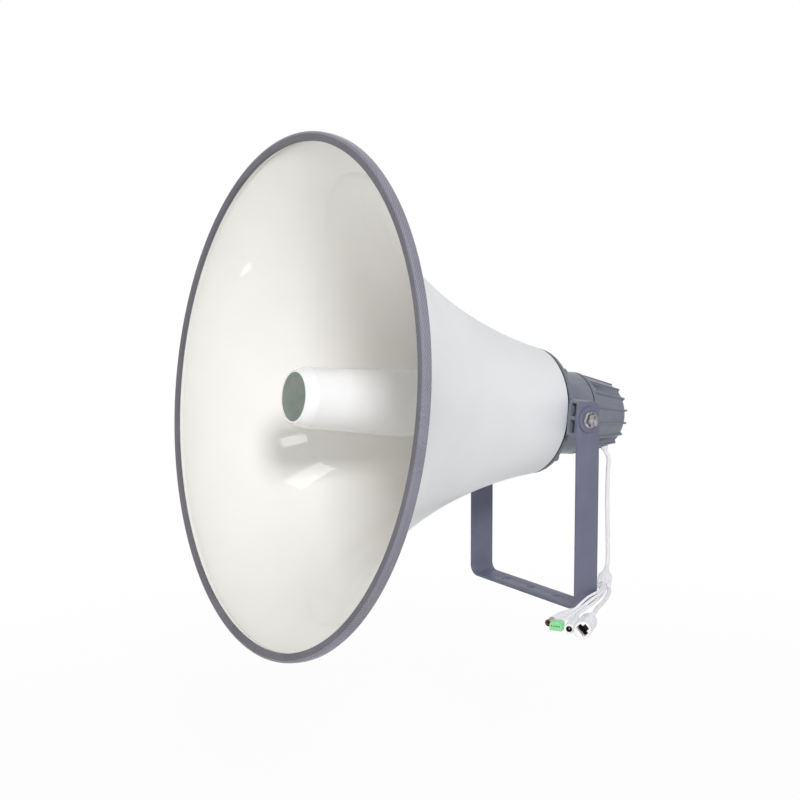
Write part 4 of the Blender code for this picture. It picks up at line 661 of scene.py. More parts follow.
@dataclass(frozen=True)
class BrushedFilm(Finish):
    """Brushed and lacquered aluminium foil, its hair lines all one way."""

    line_mm: float = 0.35
    line_height_mm: float = 0.012
    line_length: float = 60.0

    def relief(self, tree: bpy.types.NodeTree, place: Socket) -> Socket:
        """Noise stretched along the brushing direction, line_length times as long as it is wide.

        Args:
            tree: the finish's node tree.
            place: the object's coordinates in metres.

        Returns:
            The socket with the height in millimetres.
        """
        fine = 1000 / self.line_mm
        stretch = add_node(tree, "ShaderNodeMapping", {"Scale": (fine / self.line_length, fine, fine)},
                           {"Vector": place})
        lines = add_node(tree, "ShaderNodeTexNoise", {"Scale": 1.0, "Detail": 1.0},
                         {"Vector": stretch.outputs["Vector"]})
        return add_node(tree, "ShaderNodeMath", {"operation": "MULTIPLY", 1: self.line_height_mm},
                        {0: lines.outputs["Fac"]}).outputs[0]


@dataclass(frozen=True)
class CordedSheath(Finish):
    """PVC cable sheath that shows the lay of the cores under it."""

    lay_mm: float = 16.0
    lay_height_mm: float = 0.05
    wind: float = 1.1

    def relief(self, tree: bpy.types.NodeTree, place: Socket) -> Socket:
        """A slow wave that winds round the cable and repeats every lay_mm along it."""
        return self.ripple(tree, place, self.lay_mm, (1.0, self.wind), self.lay_height_mm)


@dataclass(frozen=True)
class HornFinishes:
    """Every finish on the horn, keyed by what it covers."""

    # Polyester powder coat inside the bell, warm white: a clear gloss over it gives sharp lights.
    bell_inside: Finish = SpunPaint("warm_white_powder_coat", "EFEEEA", "ECEBE6", 0.52, coat=0.6,
                                    grain_mm=1.8, grain_height_mm=0.004, gloss_swing=0.02,
                                    ring_height_mm=0.0006, mottle_mm=90, space=Space.SURFACE)
    # The same coat outside, a cooler white and a little duller from handling.
    bell_outside: Finish = SpunPaint("cool_white_powder_coat", "F0F2F3", "ECEEF0", 0.40, coat=0.03,
                                     grain_mm=1.8, grain_height_mm=0.005, gloss_swing=0.03,
                                     ring_height_mm=0.0003, mottle_mm=90, space=Space.SURFACE)
    # Spun nose tube in the brightest white, smooth and glossy.
    nose_tube: Finish = SpunPaint("bright_white_enamel", "F6F6F8", "F1F1F3", 0.22, coat=0.2,
                                  grain_mm=2.4, grain_height_mm=0.006, gloss_swing=0.02,
                                  ring_mm=4.0, ring_height_mm=0.002, space=Space.SURFACE)
    # Extruded grey vinyl edging, satin. Its ribs, drawn coarser than the real 2 mm, give the look
    # of a rope.
    edging: Finish = RibbedEdging("ribbed_grey_vinyl", "6F6E78", "66656F", 0.50, grain_mm=0.6,
                                  grain_height_mm=0.01, space=Space.SURFACE)
    # Same vinyl on the outer side, painted paler as painted light, with a satin light on the ribs.
    edging_side_painted_light: Finish = RibbedEdging("stretched_grey_vinyl", "8A8997", "807F8D", 0.27, grain_mm=0.6,
                                       grain_height_mm=0.01, space=Space.SURFACE)
    # Foil badge, brushed and tinted grey-green: its hair lines, drawn coarser than they are,
    # streak the light.
    badge: Finish = BrushedFilm("brushed_grey_green_foil", "79857C", "6C7870", 0.34, metallic=0.35,
                                grain_mm=0.5, grain_height_mm=0.004, mottle_mm=16,
                                line_mm=1.3, line_height_mm=0.05)
    # Fine-textured polyester paint on die-cast aluminium: a blue-grey satin, softly speckled.
    casting: Finish = Finish("blue_grey_casting_paint", "767A88", "707482", 0.36, grain_mm=0.9,
                             grain_height_mm=0.035, mottle_mm=22, gloss_swing=0.05)
    # Smoother paint on folded steel strap: an even, duller purple-grey.
    bracket: Finish = Finish("purple_grey_strap_paint", "6F7084", "6A6B7F", 0.48, ior=1.4, grain_mm=1.4,
                             grain_height_mm=0.018, mottle_mm=35, gloss_swing=0.04)
    # Nickel plating on the bolts: bright and dark blotches with a coarse sparkle.
    plated: Finish = Finish("blotchy_nickel_plate", "B4B3B2", "67676B", 0.22, metallic=1.0, grain_mm=1.1,
                            grain_height_mm=0.040, mottle_mm=4, gloss_swing=0.08)
    # Moulded nitrile rubber seals: nearly black and dull, so seams read as dark lines.
    rubber: Finish = Finish("black_nitrile_rubber", "1D1D20", "242428", 0.68, grain_mm=0.8,
                            grain_height_mm=0.02, mottle_mm=10)
    # White PVC, extruded over twisted cores or moulded in one piece: soft wide lights, and on the
    # cables a slow ripple.
    sheath: Finish = CordedSheath("white_pvc_sheath", "F6F6F9", "F0F0F4", 0.38, grain_mm=1.0,
                                  grain_height_mm=0.01, mottle_mm=18, space=Space.SURFACE)
    moulding: Finish = Finish("white_pvc_moulding", "F7F7FA", "F1F1F5", 0.36, grain_mm=0.8,
                              grain_height_mm=0.012, mottle_mm=14)
    # Polyamide of pluggable terminal blocks, moulded: a fresh pale green, half matt.
    terminal: Finish = Finish("pale_green_polyamide", "98E2A6", "8CD89B", 0.42, grain_mm=0.5,
                              grain_height_mm=0.01, mottle_mm=8)
    # Pressed and plated phono shell, a warm mirror, round a moulded insert in dull red.
    shell: Finish = Finish("bright_nickel_shell", "C2BBB2", "8F867E", 0.18, metallic=1.0, grain_mm=0.5,
                           grain_height_mm=0.004, mottle_mm=4)
    insert: Finish = Finish("dull_red_insert", "6E443C", "5E3831", 0.45, grain_mm=0.5,
                            grain_height_mm=0.01, mottle_mm=5)
    # Glass-filled nylon of contact carriers, moulded: a grey black.
    # The same black lines the network port's depths and the power jack's bore: painted shade.
    black: Finish = Finish("black_glass_nylon", "232326", "2B2B2F", 0.50, grain_mm=0.6,
                           grain_height_mm=0.015, mottle_mm=9)
    # Gold flash on the network port's contacts: thin yellow glints.
    gold: Finish = Finish("gold_flash", "D8A93C", "B98A2C", 0.22, metallic=1.0, grain_mm=0.3,
                          grain_height_mm=0.002, mottle_mm=2)
    # Inner pieces that only show once the horn is opened: passivated, sintered, pressed, wound,
    # turned and masked, each in its plain workshop colour.
    steel: Finish = Finish("passivated_steel", "9B9B99", "878785", 0.32, metallic=1.0, grain_mm=0.8,
                           grain_height_mm=0.008, mottle_mm=9)
    ferrite: Finish = Finish("sintered_ferrite", "2C2C2E", "353538", 0.62, grain_mm=0.4,
                             grain_height_mm=0.03, mottle_mm=7)
    film: Finish = Finish("phenolic_film", "B28C52", "A57F46", 0.42, grain_mm=0.6,
                          grain_height_mm=0.01, mottle_mm=6)
    copper: Finish = Finish("enamelled_copper", "B4683C", "A25A31", 0.34, metallic=0.8, grain_mm=0.3,
                            grain_height_mm=0.02, mottle_mm=3)
    brass: Finish = Finish("turned_brass", "BF9A42", "AD8A38", 0.28, metallic=1.0, grain_mm=0.4,
                           grain_height_mm=0.004, mottle_mm=4)
    board: Finish = Finish("green_solder_mask", "1F5C3A", "1A5233", 0.40, grain_mm=0.5,
                           grain_height_mm=0.02, mottle_mm=4)


# The finish each of the record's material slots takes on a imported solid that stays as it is.
SLOT_FINISH = {
    "bell_paint": "bell_outside", "reflector_paint": "nose_tube", "trim": "edging", "badge": "badge",
    "casting_paint": "casting", "bracket_paint": "bracket", "rubber": "rubber", "zinc": "steel",
    "nickel": "shell", "brass": "brass", "copper": "copper", "ferrite": "ferrite",
    "black_plastic": "black", "film": "film", "board": "board", "cable_white": "moulding",
    "terminal_green": "terminal", "insert_red": "insert",
}


# Putting pieces on the frame
@dataclass
class Dresser:
    """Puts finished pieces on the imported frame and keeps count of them."""

    frame: dict
    finishes: HornFinishes = HornFinishes()
    slots: dict[str, str] = field(default_factory=dict)
    made: list[str] = field(default_factory=list)
    covered: set[str] = field(default_factory=set)
    merge_distance: float = 2e-6
    flat_degrees: float = 0.6

    def __post_init__(self) -> None:
        """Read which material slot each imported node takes."""
        self.slots = {s["node"]: s["material_slot"] for s in self.frame["record"]["subparts"]}

    def add(self, surface: Surface, name: str, skins: Finish | Sequence[Finish], body: str, slot: str,
            *nodes: str, sharp: float = 40.0,
            paint: Callable[[Array], Array] | None = None) -> bpy.types.Object:
        """Build a surface in its finishes and put it on the frame.

        Args:
            surface: the piece in the row frame.
            name: the piece's name.
            skins: its one finish, or its finishes in the order that paint numbers them.
            body: the body that it moves with.
            slot: the record's material slot.
            nodes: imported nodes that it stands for.
            sharp: angle in degrees past which an edge stays crisp.
            paint: gives each face's finish number from the face centres.

        Returns:
            The piece.
        """
        coats = [skins] if isinstance(skins, Finish) else skins
        piece = surface.build(name, [coat.material() for coat in coats], sharp, paint)
        return self.put(piece, body, slot, *nodes)

    def put(self, piece: bpy.types.Object, body: str, slot: str, *nodes: str) -> bpy.types.Object:
        """Let a piece ride on a body and stand for the nodes it replaces.

        Args:
            piece: the finished object.
            body: the body that it moves with.
            slot: the record's material slot.
            nodes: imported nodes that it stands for.

        Returns:
            The piece.
        """
        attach(piece, body)
        self.note(piece, slot, *nodes)
        return piece

    def note(self, piece: bpy.types.Object, slot: str, *nodes: str) -> None:
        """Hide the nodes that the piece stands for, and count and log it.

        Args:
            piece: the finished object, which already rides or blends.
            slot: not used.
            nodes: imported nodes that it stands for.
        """
        if nodes:
            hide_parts(*nodes)
            self.covered.update(nodes)
        self.made.append(piece.name)
        LOG.info("made %-24s %6d faces", piece.name, len(piece.data.polygons))

    def softened(self, node: str, finish: Finish, body: str, width: float, segments: int = 2,
                 angle: float = 32.0) -> bpy.types.Object:
        """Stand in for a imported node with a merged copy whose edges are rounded.

        Args:
            node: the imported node.
            finish: what it is finished in.
            body: the body it rides on.
            width: bevel width.
            segments: bevel segments.
            angle: edges sharper than this many degrees are rounded.

        Returns:
            The new piece.
        """
        bm = bmesh.new()
        bm.from_mesh(self.frame["nodes"][node].data)
        bmesh.ops.remove_doubles(bm, verts=bm.verts, dist=self.merge_distance)
        bmesh.ops.dissolve_limit(bm, angle_limit=math.radians(self.flat_degrees), verts=bm.verts,
                                 edges=bm.edges)
        mesh = bpy.data.meshes.new(f"{node}_skin")
        bm.to_mesh(mesh)
        bm.free()
        mesh.materials.append(finish.material())
        mesh.shade_smooth()
        piece = bpy.data.objects.new(f"{node}_skin", mesh)
        bpy.context.scene.collection.objects.link(piece)
        bevel = piece.modifiers.new("rounded_edges", "BEVEL")
        bevel.width, bevel.segments = width, segments
        bevel.limit_method, bevel.angle_limit = "ANGLE", math.radians(angle)
        bevel.harden_normals = True
        return self.put(piece, body, self.slots[node], node)

    def carry_over(self) -> None:
        """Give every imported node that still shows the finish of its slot."""
        for node, piece in self.frame["nodes"].items():
            if node in self.covered:
                continue
            finish = getattr(self.finishes, SLOT_FINISH[self.slots[node]])
            piece.data.materials.clear()
            piece.data.materials.append(finish.material())
            LOG.info("kept %s", node)


# The horn
@dataclass
class Bell:
    """The spun bell: an exponential flare with a straight forward lip and a flat rear flange."""

    rear: float = 0.0073
    rear_radius: float = 0.0705
    lip_start: float = 0.3060
    lip_radius: float = 0.2490
    lip_length: float = 0.0071
    lip_chamfer: tuple[float, float] = (0.0003, 0.0004)
    lip_paint: float = 0.001
    wall: float = 0.0015
    paint_line: float = 0.55
    hem_share: float = 0.6
    power: float = 1.2
    lip_flare: float = 0.072
    lip_power: float = 20.0
    bore: float = 0.0125
    inner_start: float = 0.003
    corner_foot: tuple[float, float] = (0.0002, 0.0028)
    corner_reach: float = 0.008
    corner_round: float = 0.0022
    flange_bevel: tuple[float, float] = (0.0012, 0.0004)
    flange_lift: float = 0.0002
    crowding: float = 1.7
    stations: int = 92
    sides: int = 216

    def radius(self, s: Array) -> Array:
        """Outer radius at a station.

        With x from 0 at the rear to 1 at the lip, it is the rear radius times
        exp((total - lip_flare) x^power + lip_flare x^lip_power), where total is the logarithm
        of the lip's radius over the rear radius.

        Args:
            s: stations along the horn's axis.

        Returns:
            The radius at each.
        """
        x = (s - self.rear) / (self.lip_start - self.rear)
        total = math.log(self.lip_radius / self.rear_radius)
        return self.rear_radius * np.exp((total - self.lip_flare) * x ** self.power
                                         + self.lip_flare * x ** self.lip_power)

    def profile(self) -> Array:
        """Closed profile: outer flare, lip, inner face one wall inside it, and rear flange.

        The stations gather toward the lip, at the shares 1 - (1 - t)^crowding of the way. The
        inner face is the outer one moved by the wall along its normal.

        Returns:
            Array (n, 2) of radius and station.
        """
        share = 1 - (1 - np.linspace(0, 1, self.stations)) ** self.crowding
        s = self.rear + (self.lip_start - self.rear) * share
        outer = np.stack([self.radius(s), s], -1)
        normal = unit(np.stack([np.gradient(s), -np.gradient(outer[:, 0])], -1))
        front, hem = self.rear + self.wall, self.lip_radius - self.wall
        inner = (outer - self.wall * normal)[1:-1][::-1]
        inner = inner[(inner[:, 1] > front + self.inner_start) & (inner[:, 0] < hem)]
        end = self.lip_start + self.lip_length
        across, along = self.lip_chamfer
        lip = [[self.lip_radius, end - along], [self.lip_radius - across, end], [hem + across, end],
               [hem, end - along], [hem, self.lip_start + self.wall * self.hem_share]]
        inside = self.rear_radius - self.wall
        out, ahead = self.corner_foot
        corner = rounded([(inside + out, front + ahead), (inside, front),
                          (inside - self.corner_reach, front)], self.corner_round, 5, closed=False)
        first, last = (self.rear_radius - step for step in self.flange_bevel)
        flange = [[self.bore, front], [self.bore, self.rear], [first, self.rear],
                  [last, self.rear + self.flange_lift]]
        return np.concatenate([outer[1:], lip, inner, corner, flange])

    def faces_inward(self, centres: Array) -> Array:
        """Tell the inside paint's faces: those paint_line walls under the outside, and the lip's end.

        Args:
            centres: face centres (m, 3) in the row frame.

        Returns:
            True for each face of the inside.
        """
        x, s, z = np.moveaxis(to_horn(centres), -1, 0)
        skin = self.radius(np.clip(s, self.rear, self.lip_start)) - self.wall * self.paint_line
        inside = (np.hypot(x, z) < skin) & (s > self.rear + self.wall / 2)
        return inside | (s > self.lip_start + self.lip_paint)

    def make(self, dress: Dresser) -> None:
        """Build the bell, warm white inside and cool white outside.

        Args:
            dress: where the piece goes.
        """
        skins = (dress.finishes.bell_outside, dress.finishes.bell_inside)
        surface = turned(self.profile(), self.sides).moved(from_horn)
        dress.add(surface, "bell_skin", skins, "horn", "bell_paint", "bell", sharp=30.0,
                  paint=self.faces_inward)


@dataclass
class Edging:
    """The ribbed vinyl edging: a U section pushed over the bell's lip, butted at the bottom."""

    lip_radius: float = 0.2490
    lip_end: float = 0.3131
    wall: float = 0.0015
    gap: float = FIT
    outer_leg: float = 0.0057
    inner_leg: float = 0.0013
    front: float = 0.0022
    outer_depth: float = 0.0086
    inner_depth: float = 0.0040
    rounds: tuple[float, ...] = (0.0004, 0.0014, 0.0026, 0.0008, 0.0004, 0.0002, 0.0002, 0.0003)
    side_depth: float = 0.0028
    joint: float = 0.0008
    sides: int = 540

    def profile(self) -> Array:
        """Closed U section, thick outside, with a full round at its outer front corner.

        Returns:
            Array (n, 2) of radius and station.
        """
        slot_outer, slot_inner = self.lip_radius + self.gap, self.lip_radius - self.wall - self.gap
        outer, inner = slot_outer + self.outer_leg, slot_inner - self.inner_leg
        floor = self.lip_end + self.gap
        mouth = floor + self.front
        back, inner_back = mouth - self.outer_depth, mouth - self.inner_depth
        corners = [(slot_outer, back), (outer, back), (outer, mouth), (inner, mouth),
                   (inner, inner_back), (slot_inner, inner_back), (slot_inner, floor),
                   (slot_outer, floor)]
        return rounded(corners, self.rounds, 6)

    def faces_painted_lighter(self, centres: Array) -> Array:
        """Tell the outer side's faces, painted paler as painted light: those within side_depth of it.

        Args:
            centres: face centres (m, 3) in the row frame.

        Returns:
            True for each face of the outer side.
        """
        x, _, z = np.moveaxis(to_horn(centres), -1, 0)
        outer = self.lip_radius + self.gap + self.outer_leg
        return np.hypot(x, z) > outer - self.side_depth

    def make(self, dress: Dresser) -> None:
        """Carry the section round the mouth and leave the butt joint open at the bottom.

        Args:
            dress: where the piece goes.
        """
        joint = self.joint / self.lip_radius
        surface = turned(self.profile(), self.sides, math.tau - joint, -math.pi / 2 + joint / 2)
        # The outer side takes a paler copy of the vinyl: painted light.
        skins = (dress.finishes.edging, dress.finishes.edging_side_painted_light)
        dress.add(surface.moved(from_horn), "rim_edging", skins, "horn", "trim", "rim_trim", sharp=50.0,
                  paint=self.faces_painted_lighter)


@dataclass
class NoseTube:
    """The closed tube in the mouth, with a soft shoulder and a recessed foil badge."""

    rear: float = 0.036
    rear_radius: float = 0.0398
    shoulder: float = 0.2855
    shoulder_radius: float = 0.0301
    front: float = 0.2976
    face_radius: float = 0.0262
    wall: float = 0.0016
    badge_radius: float = 0.0240
    badge_thickness: float = 0.0008
    badge_round: float = 0.00035
    gap: float = FIT
    taper_ends: tuple[float, float] = (0.0008, 0.006)
    inner_rounds: tuple[float, ...] = (0, 0.002, 0.003, 0.0005, 0.0005, 0)
    nose_rounds: tuple[float, ...] = (0, 0.0009, 0.0007, 0.0003, 0.0002, 0)
    stations: int = 22
    sides: int = 144

    def profile(self) -> Array:
        """Profile from the inside pole, round the open rear rim and over the nose to its recess.

        The tube narrows evenly from the rear to the shoulder.

        Returns:
            Array (n, 2) of radius and station.
        """
        floor = self.front - self.badge_thickness - self.gap
        recess, inside = self.badge_radius + self.gap, floor - self.wall
        start, stop = self.rear + self.taper_ends[0], self.shoulder - self.taper_ends[1]
        s = np.linspace(start, stop, self.stations)[:, None]
        share = (s - self.rear) / (self.shoulder - self.rear)
        taper = np.hstack([self.rear_radius + (self.shoulder_radius - self.rear_radius) * share, s])
        inner = rounded([(0, inside), (self.face_radius - self.wall, inside),
                         (self.shoulder_radius - self.wall, self.shoulder),
                         (self.rear_radius - self.wall, self.rear), (self.rear_radius, self.rear),
                         taper[0]], self.inner_rounds, closed=False)
        nose = rounded([taper[-1], (self.shoulder_radius, self.shoulder),
                        (self.face_radius, self.front), (recess, self.front), (recess, floor),
                        (0, floor)], self.nose_rounds, closed=False)
        return np.vstack([inner[:-1], taper, nose[1:]])

    def make(self, dress: Dresser) -> None:
        """Build the tube as one closed shell, and the badge that sits in its nose.

        Args:
            dress: where the pieces go.
        """
        tube = turned(self.profile(), self.sides, closed=False).moved(from_horn)
        dress.add(tube, "nose_tube", dress.finishes.nose_tube, "horn", "reflector_paint",
                  "reflector_tube")
        back = self.front - self.badge_thickness
        edge = rounded([(0, back), (self.badge_radius, back), (self.badge_radius, self.front),
                        (0, self.front)], [0, 0.0001, self.badge_round, 0], closed=False)
        badge = turned(edge, self.sides, closed=False).moved(from_horn)
        dress.add(badge, "nose_badge_foil", dress.finishes.badge, "horn", "badge", "nose_badge")


@dataclass
class PanScrew:
    """A pan-headed screw with a cross recess, pointing along its own z axis from under the head.

    The tip's two numbers are shares of the shank's radius. From brim on, each number is a share
    of the head's radius or height, except cross_slope, which is in widths of the cross's edge.
    """

    shank: float
    head: float
    height: float
    length: float
    tip: tuple[float, float] = (0.7, 0.4)
    brim: tuple[float, float] = (0.97, 0.05)
    side: float = 0.35
    cross_reach: float = 0.62
    cross_edge: float = 0.13
    cross_slope: float = 1.5
    cross_depth: float = 0.45
    crown_rings: int = 15
    columns: int = 48

    def surface(self) -> Surface:
        """Rings from the shank's end to the head's crown, then the cross pressed into the crown.

        Over a short straight side, the crown's height is (1 - (r / head)^4)^(1/2) of what is
        left. The cross is pressed in wherever a point lies near either of two lines through the
        centre and inside cross_reach of the head, deepest in the middle.

        Returns:
            The screw in its own coordinates.
        """
        angles = even_angles(self.columns)
        side = self.height * self.side
        r = self.head * np.linspace(1.0, 0.0, self.crown_rings)
        crown = np.stack([r, side + (self.height - side) * np.sqrt(1 - (r / self.head) ** 4)], -1)
        start = [(0, -self.length), (self.shank * self.tip[0], -self.length),
                 (self.shank, -self.length + self.shank * self.tip[1]), (self.shank, 0),
                 (self.head * self.brim[0], 0), (self.head, self.height * self.brim[1])]
        rings = round_rings(np.vstack([start, crown]), angles)
        x, y = rings[..., 0] * np.cos(angles), rings[..., 0] * np.sin(angles)
        near, far = np.minimum(abs(x), abs(y)), np.maximum(abs(x), abs(y))
        edge = self.head * self.cross_edge
        slot = (np.clip((edge * self.cross_slope - near) / edge, 0, 1)
                * np.clip((self.head * self.cross_reach - far) / edge, 0, 1))
        top = rings[..., 1] > side
        rings[..., 1] -= np.where(top, slot * self.height * self.cross_depth, 0)
        return ring_stack(rings, angles)


@dataclass
class ScrewCircle:
    """Four equal screws on one circle about the horn's axis."""

    name: str
    shape: PanScrew
    radius: float
    seat: float
    turn: float
    way: int

    def place(self, degrees: float) -> Matrix:
        """Frame of the screw at one angle, its head facing the mouth for way 1, the rear for -1.

        Args:
            degrees: angle round the horn's axis, before the circle's own turn.

        Returns:
            The matrix from the screw's coordinates to the row frame.
        """
        a = math.radians(degrees + self.turn)
        point = from_horn(np.array([self.radius * math.cos(a), self.seat, self.radius * math.sin(a)]))
        return aimed(point, horn_direction(0, self.way, 0),
                     horn_direction(math.cos(a), 0, math.sin(a)))


@dataclass
class RearHousing:
    """The die-cast base, its finned cover and the screws that hold them."""

    edge: float = 0.0006
    cover_edge: float = 0.00042
    cover: ScrewCircle = field(default_factory=lambda: ScrewCircle(
        "cover_screw", PanScrew(shank=0.0020, head=0.0036, height=0.0026, length=0.0198),
        radius=0.0400, seat=-0.0603, turn=2.5, way=-1))
    flange: ScrewCircle = field(default_factory=lambda: ScrewCircle(
        "flange_screw", PanScrew(shank=0.0025, head=0.0042, height=0.0026, length=0.0104),
        radius=0.0635, seat=0.0091, turn=0.0, way=1))
    corners: tuple[float, ...] = (45.0, 135.0, 225.0, 315.0)

    def make(self, dress: Dresser) -> None:
        """Round the castings' edges and put the fine screws in.

        Args:
            dress: where the pieces go.
        """
        dress.softened("base_casting", dress.finishes.casting, "horn", self.edge)
        dress.softened("rear_cover", dress.finishes.casting, "horn", self.cover_edge)
        for number, degrees in enumerate(self.corners, 1):
            for ring in (self.cover, self.flange):
                node = f"{ring.name}_{number}"
                screw = ring.shape.surface().moved(ring.place(degrees))
                dress.add(screw, f"{node}_head", dress.finishes.plated, "horn", "zinc", node,
                          sharp=35.0)


@dataclass
class PivotHardware:
    """A flanged hex bolt over a large washer on each side of the bracket."""

    strap_outer: float = 0.095
    gap: float = FIT
    washer_radius: float = 0.0135
    washer_thickness: float = 0.0015
    hole: float = 0.0043
    shank: float = 0.004
    grip: float = 0.020
    flange_radius: float = 0.0088
    flange_thickness: float = 0.0016
    hex_width: float = 0.0125
    hex_height: float = 0.005
    teeth: int = 32
    tooth_height: float = 0.00012
    bolt_columns: int = 192
    washer_round: float = 0.0003
    washer_sides: int = 96
    bolt_turn: tuple[float, float, float] = (0, 0.26, 0.97)

    def bolt(self) -> Surface:
        """Shank, toothed flange and hexagon.

        The hexagon's radius at the angle a is half its width over cos(a'), where a' is the angle
        from the middle of the nearest flat, and its corners are trimmed to a circle that shrinks
        toward the top. The flange's rim swells by tooth_height at each tooth.

        Returns:
            The bolt in its own coordinates, its head up the z axis.
        """
        angles, width = even_angles(self.bolt_columns), self.hex_width
        flat = (angles + math.pi / 6) % (math.pi / 3) - math.pi / 6
        hexagon = np.minimum(width / 2 / np.cos(flat), width * 0.565)
        rim = self.flange_radius + self.tooth_height * np.cos(self.teeth * angles)
        start = self.strap_outer - self.grip
        seat = self.strap_outer + 2 * self.gap + self.washer_thickness
        face = seat + self.flange_thickness
        top = face + self.hex_height
        levels = [
            # The shank, from its bevelled end to the flange.
            (0, start), (self.shank * 0.8, start), (self.shank, start + 0.0008), (self.shank, seat),
            # The flange, sloping up to the hexagon's foot.
            (rim - 0.0003, seat), (rim, seat + 0.0004), (rim, seat + self.flange_thickness * 0.55),
            (rim - 0.0012, seat + self.flange_thickness * 0.85), (hexagon + 0.0004, face),
            # The hexagon, trimmed to a circle at the top, with a shallow dish in its end.
            (hexagon, face + 0.0004), (hexagon, top - 0.0011),
            (np.minimum(hexagon, width * 0.53), top - 0.0006),
            (np.minimum(hexagon, width * 0.49), top - 0.0002),
            (width * 0.46, top), (width * 0.36, top), (width * 0.32, top - 0.0003),
            (0, top - 0.0003)]
        return ring_stack(round_rings(levels, angles), angles)

    def make(self, dress: Dresser) -> None:
        """Build the bolt and washer of each side.

        Args:
            dress: where the pieces go.
        """
        near = self.strap_outer + self.gap
        far = near + self.washer_thickness
        outline = rounded([(self.hole, near), (self.washer_radius, near), (self.washer_radius, far),
                           (self.hole, far)], self.washer_round, 3)
        ring = turned(outline, self.washer_sides)
        pivot = (0.0, 0.0, PIVOT_HEIGHT)
        for word, side in (("left", -1), ("right", 1)):
            bolt = self.bolt().moved(aimed(pivot, (side, 0, 0), horn_direction(*self.bolt_turn)))
            dress.add(bolt, f"pivot_bolt_{word}_head", dress.finishes.plated, "horn", "zinc",
                      f"pivot_bolt_{word}", sharp=28.0)
            washer = ring.moved(aimed(pivot, (0, 0, 1), (0, -side, 0)))
            dress.add(washer, f"pivot_washer_{word}_ring", dress.finishes.bracket, "horn",
                      "bracket_paint", f"pivot_washer_{word}", sharp=35.0)


@dataclass
class Bracket:
    """The U bracket, folded from painted steel strap."""

    edge: float = 0.0006
    segments: int = 3
    sharp: float = 40.0

    def make(self, dress: Dresser) -> None:
        """Round the strap's sheared edges and its holes."""
        dress.softened("u_bracket", dress.finishes.bracket, "bracket", self.edge, self.segments,
                       self.sharp)


# The breakout cable
@dataclass(frozen=True)
class Cord:
    """One round cable: its route's own points in the row frame, its radius and its real length."""

    node: str
    radius: float
    length: float
    route: tuple[tuple[float, float, float], ...]
    far_end: str = "connector"
    per_span: int = 14
    sides: int = 20
    blend_from: int = 6
    blend_to: int = -8

    def make(self, dress: Dresser, with_pieces: Sequence[bpy.types.Object],
             blended: bool = False) -> bpy.types.Object:
        """Args:
            dress: where the piece goes.
            with_pieces: not used.
            blended: whether it runs from the horn to the bracket.

        Returns:
            The cord's piece.
        """
        path = smooth_route(self.route, self.per_span)
        surface = swept(path, circle(self.radius, self.sides))
        piece = surface.build(f"{self.node}_sheath", [dress.finishes.sheath.material()], sharp=50.0)
        if blended:
            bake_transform(piece)
            dress.note(piece, "cable_white", self.node)
        else:
            dress.put(piece, "bracket", "cable_white", self.node)
        return piece


@dataclass
class Splitter:
    """The moulded block where the trunk divides into four tails."""

    top: tuple[float, float, float] = (0.0360, 0.0800, 0.0205)
    bottom: tuple[float, float, float] = (0.0500, 0.0640, 0.0075)
    half_width: float = 0.0080
    half_depth: float = 0.0040
    neck: float = 0.0032
    dip: float = 0.30
    columns: int = 72

    def make(self, dress: Dresser) -> bpy.types.Object:
        """Sweep an oval that swells from the trunk's neck and shows the four tails at its end.

        With t from 0 to 1 along the block, the half width grows from the neck by a smooth step
        between t = 0.1 and 0.5, and closes again by a rounded edge near 1. Near the end the depth
        dips between the tails: depth (1 - dip k (1 + cos(4 pi x / w)) / 2) with k rising from
        t = 0.55 to 0.85.

        Args:
            dress: where the piece goes.

        Returns:
            The block.
        """
        start, stop = np.array(self.top), np.array(self.bottom)
        t = np.concatenate([[0, 0.008, 0.03], np.linspace(0.08, 0.92, 26), [0.96, 0.985, 1.0]])
        rise = np.clip((t - 0.10) / 0.40, 0, 1)
        rise = rise * rise * (3 - 2 * rise)
        far_edge = np.where(t > 0.92, 1 - 0.16 * ((t - 0.92) / 0.08) ** 2, 1.0)
        close = far_edge - np.where(t < 0.02, 0.08, 0.0)
        width = (self.neck + (self.half_width - self.neck) * rise) * close
        depth = (self.neck + (self.half_depth - self.neck) * rise) * close
        angles = even_angles(self.columns)
        lobes = np.clip((t - 0.55) / 0.3, 0, 1)[:, None] * (
            1 + np.cos(4 * math.pi * np.cos(angles))) / 2
        section = np.stack([width[:, None] * np.cos(angles),
                            depth[:, None] * np.sin(angles) * (1 - self.dip * lobes)], -1)
        along = Vector(stop - start).normalized()
        side = along.cross(Vector((0, 0, 1))).normalized()
        surface = swept(start + (stop - start) * t[:, None], section, up=tuple(side.cross(along)))
        return dress.add(surface, "cable_splitter_block", dress.finishes.moulding, "bracket",
                         "cable_white", "cable_splitter")


@dataclass(frozen=True)
class Plug:
    """A connector that lies on the mounting plane, pointing along a heading in degrees."""

    front: tuple[float, float, float]
    heading: float
    length: float

    def place(self, back: float = 0.0) -> Matrix:
        """Frame at the connector's rear: z forward, y up, x to its right.

        Args:
            back: how far behind the rear the frame lies.

        Returns:
            The matrix from the connector's coordinates to the row frame.
        """
        a = math.radians(self.heading)
        forward = Vector((math.cos(a), math.sin(a), 0))
        return aimed(Vector(self.front) - forward * (self.length + back), forward,
                     (-forward.y, forward.x, 0))


